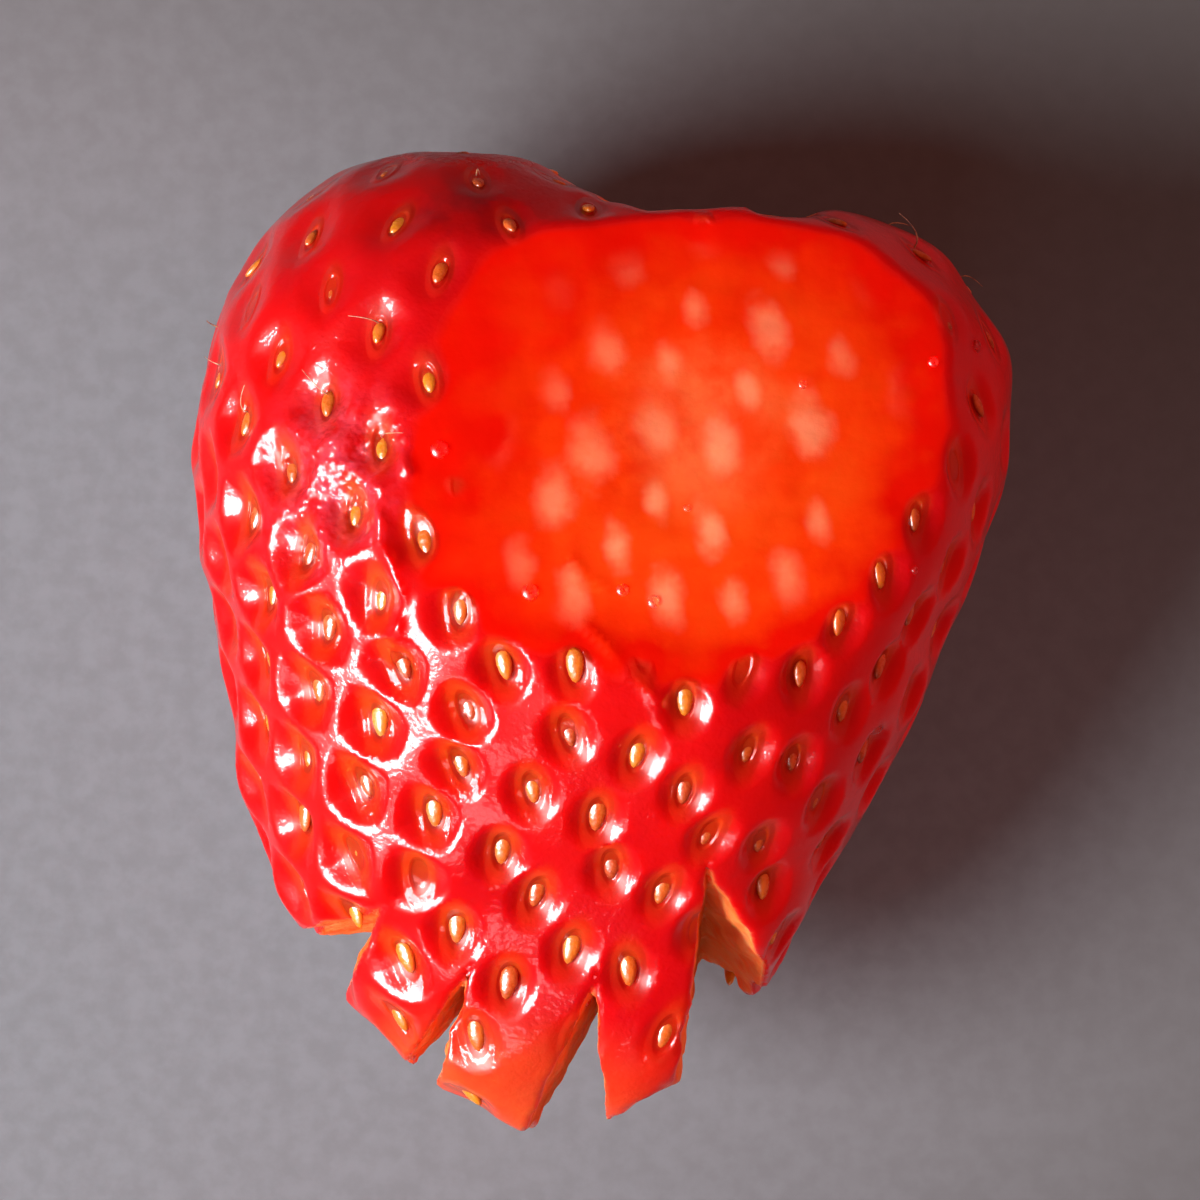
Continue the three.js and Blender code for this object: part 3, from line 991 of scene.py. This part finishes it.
def flesh_colour(tree):
    """Red near the skin and on the left, orange within, palest at the heart."""
    wobble = noise_between(tree, 2.6, -0.6, 0.6, detail=4.0)
    depth = math_node(tree, "ADD", stored(tree, "flesh_depth"), wobble)
    share = math_node(tree, "DIVIDE", depth, DEPTH_RANGE, clamp=True)
    stops = [(0.0, FLESH_RED), (0.08, FLESH_RED), (0.26, FLESH_ORANGE), (0.55, FLESH_PALE)]
    by_depth = ramp(tree, share, stops)
    paler = math_node(tree, "MULTIPLY", spot(tree, PALE_CENTRE, PALE_REACH), 1 - LEAST_PALE)
    paler = math_node(tree, "ADD", paler, LEAST_PALE)
    grown = mix(tree, math_node(tree, "MAXIMUM", paler, stored(tree, "wall")), FLESH_RED, by_depth)
    deep = between(tree, share, 0.2, 0.7, 0.0, 0.8)
    heart = math_node(tree, "MULTIPLY", spot(tree, HEART_CENTRE, HEART_REACH), deep)
    fibres = noise_between(tree, 0.8, 0.25, 0.95, detail=4.0, along=FIBRE_SHARE)
    # Partly painted light: the walls are the paler flesh from deeper in, and are painted paler still, as
    # they look where lit.
    walled = mix(tree, math_node(tree, "MULTIPLY", stored(tree, "wall"), fibres), grown, WALL_PALE_AND_PAINTED_LIGHT)
    pale = mix(tree, heart, walled, HEART_PALE)
    ragged = noise_between(tree, 1.4, 0.0, 0.6, detail=3.0)
    bruise = math_node(tree, "MULTIPLY", spot(tree, BRUISE_CENTRE, BRUISE_REACH), ragged)
    return mix(tree, bruise, pale, BRUISE_RED)


def with_threads(tree, colour):
    """The pale dots, a little ragged, and less clear where the flesh is still red."""
    ragged = noise_between(tree, 1.3, -0.15, 0.2, detail=2.0)
    distance = math_node(tree, "ADD", stored(tree, "thread"), ragged)
    clearness = between(tree, stored(tree, "flesh_depth"), 0.8, 3.6, 0.0, 0.85)
    dot = math_node(tree, "MULTIPLY", between(tree, distance, 1.25, 0.1), clearness)
    return mix(tree, dot, colour, THREAD_PALE)


print("the flesh's colour changes over", DEPTH_RANGE, "mm")

# %% [markdown]
# The skin is crimson, with painted shade on the lobe by the stem, darkest in a bruise, and orange
# at the tip.
# Each seed sits in a ring of its own: an orange halo where the skin is stretched thin, painted
# shade in the gap right round the seed, and a raised collar. The ring is worked out from the place
# beside the seed.

# %% Skin colours
SKIN_RED = (0.52, 0.0008, 0.004)
SKIN_BRIGHT = (0.60, 0.002, 0.0025)
SKIN_PAINTED_SHADE = (0.36, 0.0008, 0.002)
TIP_ORANGE = (0.68, 0.09, 0.016)
PIT_ORANGE = (0.66, 0.060, 0.003)
SEED_GAP_PAINTED_SHADE = (0.20, 0.003, 0.002)
BRUISE_DARK = (0.20, 0.001, 0.004)
DRY_PINK = (0.50, 0.055, 0.050)
FILM_PAINTED_SHEEN_PINK = (0.60, 0.10, 0.17)
STEM_PAINTED_SHADE_CENTRE = (-9, 22, 20)
STEM_PAINTED_SHADE_REACH = (15, 9, 14)
SKIN_BRUISE_CENTRE = (-6.6, 20.2, 24)
SKIN_BRUISE_REACH = (4.4, 2.2, 6)
DRY_CENTRE = (-6.5, 23.6, 18)
DRY_REACH = (6.5, 1.6, 8)
TIP_CENTRE = (-6.0, -23.0, 14)
TIP_REACH = (13, 7, 16)
COLLAR_HEIGHT = 0.13  # mm
COLLAR_REACH = 1.4  # in seed half-sizes, where the collar is highest


def seed_ring(tree):
    """How far from the middle of the nearest seed, in half-sizes of the seed, and how far along it."""
    beside = put(tree, "ShaderNodeAttribute", attribute_name="by_seed").outputs["Vector"]
    xyz = put(tree, "ShaderNodeSeparateXYZ", {0: beside}).outputs
    along = math_node(tree, "DIVIDE", xyz["X"], SEED_LENGTH / 2)
    across = math_node(tree, "DIVIDE", xyz["Y"], SEED_WIDTH / 2)
    flat = put(tree, "ShaderNodeCombineXYZ", {"X": along, "Y": across}).outputs[0]
    return put(tree, "ShaderNodeVectorMath", {0: flat}, operation="LENGTH").outputs["Value"], along


def skin_colour(tree):
    base = mix(tree, noise_between(tree, 9.0, 0.0, 1.0), SKIN_RED, SKIN_BRIGHT)
    # Painted shade: the lobe by the stem, turned away from the window, is painted darker.
    shade = math_node(tree, "MULTIPLY", spot(tree, STEM_PAINTED_SHADE_CENTRE, STEM_PAINTED_SHADE_REACH), 0.6)
    colour = mix(tree, shade, base, SKIN_PAINTED_SHADE)
    patches = [
        (SKIN_BRUISE_CENTRE, SKIN_BRUISE_REACH, 2.2, 0.0, 0.9, BRUISE_DARK),
        (DRY_CENTRE, DRY_REACH, 0.7, 0.0, 0.9, DRY_PINK),
        # Painted sheen: the crinkled patch is tinted pink, as the shine of its wet film of juice.
        (CRINKLE_CENTRE, CRINKLE_REACH, 1.1, 0.0, 0.45, FILM_PAINTED_SHEEN_PINK),
        (TIP_CENTRE, TIP_REACH, 4.0, 0.5, 1.0, TIP_ORANGE),
    ]
    for centre, reach, size, least, most, tint in patches:
        ragged = noise_between(tree, size, least, most, detail=4.0)
        patch = math_node(tree, "MULTIPLY", spot(tree, centre, reach), ragged)
        colour = mix(tree, patch, colour, tint)
    ring, along = seed_ring(tree)
    upper = between(tree, along, -1.2, 1.2, 0.45, 1.0)
    halo = math_node(tree, "MULTIPLY", between(tree, ring, 3.0, 0.9), upper)
    in_pit = stored(tree, "pit_share")
    haloed = mix(tree, math_node(tree, "MULTIPLY", halo, in_pit), colour, PIT_ORANGE)
    # Painted shade: the thin gap right round each seed is painted dark, as the seed's contact shadow.
    gap = between(tree, ring, 1.2, 1.0, 0.0, 0.45)
    return mix(tree, math_node(tree, "MULTIPLY", gap, in_pit), haloed, SEED_GAP_PAINTED_SHADE)


print("a seed's collar is", COLLAR_HEIGHT, "mm high")

# %% [markdown]
# The relief that is too fine for the net goes into a bump: the grain of the flesh, the faint
# dimples of the skin, the collars, and one crinkled patch on the left where the skin was rubbed
# and its film of juice has wrinkled. Two layers shine. The surface itself is smooth and wet and
# follows the bump, so it glints. The coat lies over it evenly and rougher, and gives the soft
# pink haze round each glint. The cut flesh has soaked its juice up, so it hardly shines at all.
# Light goes a little way into both, which subsurface scattering gives.

# %% The skin and flesh material
def fine_height(tree, cut):
    """Height in millimetres."""
    grain = noise_between(tree, 0.5, 0.0, 0.006)
    cells = noise_between(tree, 2.2, 0.0, 0.03, detail=2.0)
    fibres = noise_between(tree, 0.8, 0.0, 0.07, detail=3.0, along=FIBRE_SHARE)
    on_walls = math_node(tree, "MULTIPLY", fibres, stored(tree, "wall"))
    flesh = math_node(tree, "ADD", math_node(tree, "ADD", grain, cells), on_walls)
    waves = noise_between(tree, 0.9, 0.0, 0.02, detail=2.0)
    dimples = math_node(tree, "ADD", waves, noise_between(tree, 0.25, 0.0, 0.008, detail=1.0))
    patch = spot(tree, CRINKLE_CENTRE, CRINKLE_REACH)
    crumpled = noise_between(tree, 1.2, 0.0, 0.2, detail=2.0, roughness=0.6)
    folds = math_node(tree, "MULTIPLY", patch, crumpled)
    dry = spot(tree, DRY_CENTRE, DRY_REACH)
    flakes = math_node(tree, "MULTIPLY", dry, noise_between(tree, 0.5, 0.0, 0.16, detail=4.0))
    ring, along = seed_ring(tree)
    rise = between(tree, ring, 0.95, COLLAR_REACH)
    fall = between(tree, ring, COLLAR_REACH + 0.9, COLLAR_REACH)
    collar = math_node(tree, "MULTIPLY", math_node(tree, "MULTIPLY", rise, fall), COLLAR_HEIGHT)
    skin = math_node(tree, "ADD", dimples, collar)
    for extra in (folds, flakes):
        skin = math_node(tree, "ADD", skin, extra)
    part = math_node(tree, "MULTIPLY", flesh, cut)
    whole = math_node(tree, "MULTIPLY", skin, math_node(tree, "SUBTRACT", 1.0, cut))
    return math_node(tree, "ADD", part, whole)


JUICE_IOR = 1.35
CUT_SPAN = (0.05, 0.4)  # mm under the skin, over which skin turns into cut flesh
CUT_ROUGHER = 0.4  # how much rougher the cut flesh is than the wet skin
DRY_ROUGHER = 0.3
SKIN_SHEEN = 0.5  # Blender's own name for a surface that shines as its IOR says
SOAKED_SHEEN = 0.01  # what is left of it where the flesh has soaked its juice up
HAZE = 0.3  # weight of the coat on the skin
HAZE_ROUGHNESS = 0.3
HAZE_IOR = 1.3
HAZE_TINT = (1.0, 0.5, 0.52, 1.0)


def berry_material():
    material, tree, shader = new_material("strawberry_skin_and_flesh")
    depth = stored(tree, "depth")
    cut = between(tree, depth, *CUT_SPAN)
    flesh = with_threads(tree, flesh_colour(tree))
    colour = mix(tree, cut, skin_colour(tree), flesh)
    tree.links.new(colour, shader.inputs["Base Color"])
    wet = noise_between(tree, 2.0, 0.08, 0.18)
    rough = math_node(tree, "ADD", math_node(tree, "MULTIPLY", cut, CUT_ROUGHER), wet)
    dry = math_node(tree, "MULTIPLY", spot(tree, DRY_CENTRE, DRY_REACH), DRY_ROUGHER)
    tree.links.new(math_node(tree, "ADD", rough, dry), shader.inputs["Roughness"])
    tree.links.new(between(tree, depth, *CUT_SPAN, HAZE, 0.0), shader.inputs["Coat Weight"])
    sheen = between(tree, depth, *CUT_SPAN, SKIN_SHEEN, SOAKED_SHEEN)
    tree.links.new(sheen, shader.inputs["Specular IOR Level"])
    shader.inputs["Coat Roughness"].default_value = HAZE_ROUGHNESS
    shader.inputs["Coat IOR"].default_value = HAZE_IOR
    shader.inputs["IOR"].default_value = JUICE_IOR
    shader.inputs["Specular Tint"].default_value = HAZE_TINT
    shader.inputs["Subsurface Weight"].default_value = 0.8
    shader.inputs["Subsurface Radius"].default_value = (1.0, 0.10, 0.05)
    shader.inputs["Subsurface Scale"].default_value = 3.2 * MM
    bump = put(
        tree,
        "ShaderNodeBump",
        {"Strength": 1.0, "Distance": 1.0 * MM, "Height": fine_height(tree, cut)},
    )
    tree.links.new(bump.outputs["Normal"], shader.inputs["Normal"])
    return material


berry.data.materials.append(berry_material())
print("skin and flesh:", len(berry.data.materials[0].node_tree.nodes), "nodes")

# %% [markdown]
# A ripe seed is straw yellow to red brown, darker at its pointed end, smooth and a little
# glossy. Each seed has its own tone, drawn once and stored on its point.

# %% The seeds' material
SEED_GOLD = (0.72, 0.24, 0.012)
SEED_AMBER = (0.68, 0.13, 0.010)
SEED_RED = (0.52, 0.055, 0.012)
SEED_BROWN = (0.15, 0.015, 0.006)


def seed_material():
    material, tree, shader = new_material("strawberry_seed")
    tone = ramp(
        tree,
        stored(tree, "tone"),
        [(0.0, SEED_GOLD), (0.35, SEED_AMBER), (0.75, SEED_RED), (1.0, SEED_RED)],
    )
    lower = between(tree, stored(tree, "seed_along"), 0.05, -0.5)
    ripeness = between(tree, stored(tree, "tone"), 0.2, 1.0, 0.1, 0.75)
    colour = mix(tree, math_node(tree, "MULTIPLY", lower, ripeness), tone, SEED_BROWN)
    speckled = mix(tree, noise_between(tree, 0.25, 0.0, 0.35, detail=2.0), colour, SEED_AMBER)
    tree.links.new(speckled, shader.inputs["Base Color"])
    tree.links.new(noise_between(tree, 0.25, 0.2, 0.4, detail=2.0), shader.inputs["Roughness"])
    shader.inputs["Specular IOR Level"].default_value = 0.35
    shader.inputs["Coat Weight"].default_value = 0.2
    shader.inputs["Coat Roughness"].default_value = 0.3
    shader.inputs["Subsurface Weight"].default_value = 0.2
    shader.inputs["Subsurface Radius"].default_value = (1.0, 0.4, 0.1)
    shader.inputs["Subsurface Scale"].default_value = 0.4 * MM
    ribs = noise_between(tree, 0.3, 0.0, 0.02, detail=2.0)
    bump = put(tree, "ShaderNodeBump", {"Strength": 1.0, "Distance": 1.0 * MM, "Height": ribs})
    tree.links.new(bump.outputs["Normal"], shader.inputs["Normal"])
    return material


SEED_FINISH = seed_material()
print("seed:", len(SEED_FINISH.node_tree.nodes), "nodes")

# %% [markdown]
# A seed is set only where its pit is whole, so none is left half cut on an edge, and none is
# squashed under the berry. It lies in its pit with its stem end tucked in and its tip standing out
# a little, as the flesh that grew round it left it. Those of the right side are redder, and those
# of the tip paler.

# %% Set the seeds in their pits
SEED_SINK = -0.06  # mm from the pit's floor up to the middle of a seed, which is just below it
SEED_NOD = 0.22  # the stem end of a seed is tucked in and its tip stands out by this angle
KEEP_FROM_CUT = 0.12  # a seed stays if its middle is at least this far inside each cut
LOWEST_SEED = 1.3  # mm above the floor
TONE_SPREAD = 0.8
RIGHT_REDDER = 0.3
RIGHT_REDDER_SPAN = (0, 14)  # x over which the seeds turn redder
TIP_PALER = 0.25


def make_seeds():
    middles = PLACES + OUT * (SEED_SINK - PIT_DEPTHS)[:, None]
    whole = (cut_gap(middles) < -KEEP_FROM_CUT) & (PLACES[:, 2] > LOWEST_SEED)
    redder = RIGHT_REDDER * smoothstep(PLACES[:, 0], *RIGHT_REDDER_SPAN)
    redder = redder - TIP_PALER * (1 - smoothstep(PLACES[:, 1], *SEED_TIP_SPAN))
    tone = np.clip(TONE_SPREAD * repeatable_draws(DRAW_SEED + 1, len(PLACES)) + redder, 0, 1)
    nodded_out = OUT * math.cos(SEED_NOD) + ALONG * math.sin(SEED_NOD)
    nodded_along = ALONG * math.cos(SEED_NOD) - OUT * math.sin(SEED_NOD)
    holder = points_object(
        "seed_points",
        middles[whole],
        {"out": nodded_out[whole], "along": nodded_along[whole]},
        {"tone": tone[whole], "size": SIZES[whole]},
    )
    seeds = grown(holder, seed_tree(SEED_FINISH), "seeds", {"Taper": SEED_TAPER, "Random Seed": 3})
    bpy.data.objects.remove(holder)
    print("seeds:", whole.sum(), "with", len(seeds.data.polygons), "faces in all")
    return seeds


seeds = make_seeds()

# %% [markdown]
# A dry hair, the style, is left on some seeds near the stem: it once carried the pollen. It is a
# short bent curve with a thin square profile, so it needs few faces, and the tree sets one on each
# chosen seed. Its tip is thinner than its root.

# %% The dry styles
STRAW = (0.62, 0.33, 0.14)
STYLE_SHARE = 0.6  # share of the seeds near the stem that kept their style
STYLE_REACH = 1.7  # mm, the furthest a style's tip comes from its root
STYLE_RISE = 0.7  # how far it rises for each millimetre sideways, at most
STYLE_ROOT = (0.1, 0.45)  # mm from the middle of its seed, outwards and towards the stem
STYLE_FROM_Y = 9
STYLE_FROM_Z = 4
STYLE_FROM_CUT = 0.6  # mm


def style_tree(material):
    tree = new_tree(
        "styles",
        [
            ("Length", "NodeSocketFloat", 1.5 * MM),
            ("Lean", "NodeSocketFloat", 0.9),
            ("Root Radius", "NodeSocketFloat", 0.035 * MM),
            ("Tip Share", "NodeSocketFloat", 0.35),
            ("Random Seed", "NodeSocketInt", 4),
        ],
    )
    given = put(tree, "NodeGroupInput").outputs
    lean = math_node(tree, "MULTIPLY", given["Length"], given["Lean"])
    middle = put(tree, "ShaderNodeCombineXYZ", {"Z": given["Length"]})
    half = put(tree, "ShaderNodeVectorMath", {0: middle.outputs[0], 3: 0.5}, operation="SCALE")
    end = put(tree, "ShaderNodeCombineXYZ", {"Y": lean, "Z": math_node(tree, "MULTIPLY", lean, 0.6)})
    line = put(
        tree,
        "GeometryNodeCurveQuadraticBezier",
        {"Resolution": 6, "Start": (0, 0, 0), "Middle": half.outputs[0], "End": end.outputs[0]},
    )
    along = put(tree, "GeometryNodeSplineParameter").outputs["Factor"]
    taper = put(tree, "ShaderNodeMapRange", {"Value": along, "To Min": 1.0, "To Max": given["Tip Share"]})
    profile = put(
        tree,
        "GeometryNodeCurvePrimitiveCircle",
        {"Resolution": 4, "Radius": given["Root Radius"]},
    )
    tube = put(
        tree,
        "GeometryNodeCurveToMesh",
        {
            "Curve": line.outputs[0],
            "Profile Curve": profile.outputs[0],
            "Scale": taper.outputs["Result"],
            "Fill Caps": True,
        },
    )
    size = random_size(tree, 0.6, 1.2, given["Random Seed"])
    points = given["Geometry"]
    set_on_points(tree, points, tube.outputs[0], turn_by_point(tree), size, material)
    return tree


def style_material():
    material, tree, shader = new_material("dry_style")
    browned = mix(tree, noise_between(tree, 0.4, 0.0, 1.0), STRAW, SEED_BROWN)
    tree.links.new(browned, shader.inputs["Base Color"])
    tree.links.new(noise_between(tree, 0.4, 0.4, 0.7), shader.inputs["Roughness"])
    return material


def make_styles():
    draws = repeatable_draws(DRAW_SEED + 3, len(PLACES))
    outwards, stemwards = STYLE_ROOT
    roots = PLACES + OUT * (SEED_SINK - PIT_DEPTHS + outwards)[:, None] + ALONG * stemwards
    swing = 2 * np.pi * repeatable_draws(DRAW_SEED + 4, len(PLACES))[:, None]
    way = ALONG * np.cos(swing) + ACROSS * np.sin(swing)
    tips = roots + STYLE_REACH * (way + STYLE_RISE * OUT)
    inside = ((tips > np.array(cad_low) / MM) & (tips < np.array(cad_high) / MM)).all(axis=1)
    kept = (draws < STYLE_SHARE) & inside & (cut_gap(roots) < -STYLE_FROM_CUT)
    kept &= (PLACES[:, 1] > STYLE_FROM_Y) & (PLACES[:, 2] > STYLE_FROM_Z)
    holder = points_object("style_points", roots[kept], {"out": OUT[kept], "along": way[kept]}, {})
    styles = grown(holder, style_tree(style_material()), "styles", {"Random Seed": 4})
    bpy.data.objects.remove(holder)
    print("styles:", kept.sum(), "with", len(styles.data.polygons), "faces in all")
    return styles


styles = make_styles()

# %% [markdown]
# The knife leaves tiny drops of juice on the slice, most of them along its lower edge. Each drop
# is a low round cap of clear juice. The tree scatters points over the berry itself, only where
# the stored chance is high, and sets a flattened ball on each, so most of a ball is under the
# surface and only its cap shows.

# %% Drops of juice
JUICE_COLOUR = (0.95, 0.45, 0.40, 1.0)
SYRUP_IOR = 1.45  # a drop that has dried a little is half sugar
DROP_PLACES = [
    (9.9, 16.7),
    (9.3, 12.4),
    (15.5, 13.7),
    (-1.5, 7.6),
    (15.9, 7.2),
    (3.7, 6.2),
    (12.4, 5.8),
    (-1.4, 3.6),
    (-3.6, 2.1),
    (1.0, 2.1),
    (2.3, 1.4),
    (5.7, 1.9),
    (0.0, -0.2),
    (14.5, 3.2),
]
DROP_CLUSTER = 0.45  # mm, how far the drops lie from such a place
STRAY_CHANCE = 0.004  # of a drop anywhere else on the upper side


def drop_chance():
    plan = NET_POINTS[:, :2]
    chance = np.full(len(plan), STRAY_CHANCE)
    for place in DROP_PLACES:
        distance = np.linalg.norm(plan - place, axis=1)
        chance = np.maximum(chance, np.exp(-((distance / DROP_CLUSTER) ** 2)))
    return chance * (NET_POINTS[:, 2] > UPPER_LEVEL)


def drop_tree(material):
    tree = new_tree(
        "drops",
        [
            ("Most Per Square Metre", "NodeSocketFloat", 3.5e6),
            ("Least Distance", "NodeSocketFloat", 0.6 * MM),
            ("Smallest", "NodeSocketFloat", 0.16 * MM),
            ("Largest", "NodeSocketFloat", 0.6 * MM),
            ("Flatness", "NodeSocketFloat", 0.55),
            ("Random Seed", "NodeSocketInt", 5),
        ],
    )
    given = put(tree, "NodeGroupInput").outputs
    scattered = put(
        tree,
        "GeometryNodeDistributePointsOnFaces",
        {
            "Mesh": given["Geometry"],
            "Distance Min": given["Least Distance"],
            "Density Max": given["Most Per Square Metre"],
            "Density Factor": named(tree, "drop_chance"),
            "Seed": given["Random Seed"],
        },
        distribute_method="POISSON",
    )
    ball = put(tree, "GeometryNodeMeshUVSphere", {"Segments": 12, "Rings": 7, "Radius": 1.0})
    flat = put(tree, "ShaderNodeCombineXYZ", {"X": 1.0, "Y": 1.0, "Z": given["Flatness"]})
    low = put(tree, "GeometryNodeTransform", {"Geometry": ball.outputs["Mesh"], "Scale": flat.outputs[0]})
    smooth = put(tree, "GeometryNodeSetShadeSmooth", {"Geometry": low.outputs[0]})
    size = random_size(tree, given["Smallest"], given["Largest"], given["Random Seed"])
    turn = scattered.outputs["Rotation"]
    set_on_points(tree, scattered.outputs["Points"], smooth.outputs[0], turn, size, material)
    return tree


def juice_material():
    material, tree, shader = new_material("juice")
    shader.inputs["Base Color"].default_value = JUICE_COLOUR
    shader.inputs["Transmission Weight"].default_value = 1.0
    shader.inputs["IOR"].default_value = SYRUP_IOR
    tree.links.new(noise_between(tree, 0.3, 0.2, 0.36), shader.inputs["Roughness"])
    return material


def make_drops():
    store(berry.data, "drop_chance", drop_chance())
    drops = grown(berry, drop_tree(juice_material()), "drops", {"Random Seed": 5})
    print("drops:", len(drops.data.polygons), "faces in all")
    return drops


drops = make_drops()

# %% [markdown]
# The floor is a pale sheet, far larger than the view, with a pool of light painted on it: it is
# brightest on the left by the window, and painted darker away from it, as shade. The light is that
# of one large soft window on the left, with a weak warm fill from the sky. The window's height
# decides where the skin shines: the highlights sit halfway between the light and the camera. Wet
# skin mirrors a window far brighter than the light that it casts, so two more lights are seen in the
# shine alone, one at the window and one low by the tip. Two fills do the opposite and never show in
# the shine: low sky by the tip, and the red light that the berry's own surroundings throw back on
# its right.

# %% Floor and lights
FLOOR_COLOUR = (0.215, 0.226, 0.245)
FLOOR_GRAIN_AND_PAINTED_SHADE_COLOUR = (0.085, 0.082, 0.080)
FLOOR_PAINTED_LIGHT_CENTRE = (-42, -10, 0)
FLOOR_PAINTED_LIGHT_REACH = (110, 75, 60)


def add_floor():
    bpy.ops.mesh.primitive_plane_add(size=6.0, location=(0, 0, 0))
    floor = bpy.context.object
    floor.name = "floor"
    material, tree, shader = new_material("floor")
    # Painted light: the floor is brightest round a point on the left, by the window, and fades to a
    # painted shade far from it.
    near = spot(tree, FLOOR_PAINTED_LIGHT_CENTRE, FLOOR_PAINTED_LIGHT_REACH)
    broad = mix(tree, near, FLOOR_GRAIN_AND_PAINTED_SHADE_COLOUR, FLOOR_COLOUR)
    # The grain mixes towards the same dark colour as the painted shade.
    grain = noise_between(tree, 1.2, 0.0, 0.2, detail=6.0)
    tree.links.new(mix(tree, grain, broad, FLOOR_GRAIN_AND_PAINTED_SHADE_COLOUR), shader.inputs["Base Color"])
    shader.inputs["Roughness"].default_value = 0.8
    shader.inputs["Specular IOR Level"].default_value = 0.0
    floor.data.materials.append(material)


def add_window(name, direction, distance, size, power, colour=(1.0, 1.0, 1.0)):
    """A soft oval light that looks at the berry from a direction."""
    data = bpy.data.lights.new(name, "AREA")
    data.shape = "ELLIPSE"
    data.size, data.size_y = size
    data.energy = power
    data.color = colour
    light = bpy.data.objects.new(name, data)
    way = Vector(direction).normalized()
    light.location = Vector((0, 0, 0.015)) + way * distance
    light.rotation_euler = way.to_track_quat("Z", "Y").to_euler()
    bpy.context.scene.collection.objects.link(light)
    return light


def add_sky(strength):
    world = bpy.data.worlds.new("sky")
    world.use_nodes = True
    background = world.node_tree.nodes["Background"]
    background.inputs["Color"].default_value = (1.0, 0.55, 0.35, 1.0)
    background.inputs["Strength"].default_value = strength
    bpy.context.scene.world = world


add_floor()
WINDOW_WAY = (-1.0, -0.36, 0.85)
LOW_WAY = (-0.35, -0.9, 0.66)
BOUNCE_WAY = (1.0, 0.25, 0.35)
WINDOW_DISTANCE = 0.9
LOW_DISTANCE = 1.3
add_window("window", WINDOW_WAY, WINDOW_DISTANCE, (0.5, 0.42), 17.0, (1.0, 0.98, 1.0))
glare = add_window("window_glare", WINDOW_WAY, WINDOW_DISTANCE, (0.72, 0.58), 90.0)
low_glare = add_window("low_glare", LOW_WAY, LOW_DISTANCE, (0.6, 0.36), 4.5)
for light in (glare, low_glare):
    light.visible_diffuse = False
    light.visible_transmission = False
low_sky = add_window("low_sky", LOW_WAY, LOW_DISTANCE, (1.2, 0.8), 5.0, (1.0, 0.96, 1.0))
bounce = add_window("red_bounce", BOUNCE_WAY, WINDOW_DISTANCE, (0.8, 0.8), 5.0, (1.0, 0.3, 0.28))
for light in (low_sky, bounce):
    light.visible_glossy = False
add_sky(0.13)
bpy.context.scene.view_settings.view_transform = "Standard"
print("lights:", [light.name for light in bpy.data.lights])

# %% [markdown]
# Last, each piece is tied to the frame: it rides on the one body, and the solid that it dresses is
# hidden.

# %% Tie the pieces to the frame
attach(berry, "root")
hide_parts("strawberry")
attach(seeds, "root")
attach(styles, "root")
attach(drops, "root")

bpy.context.view_layer.update()
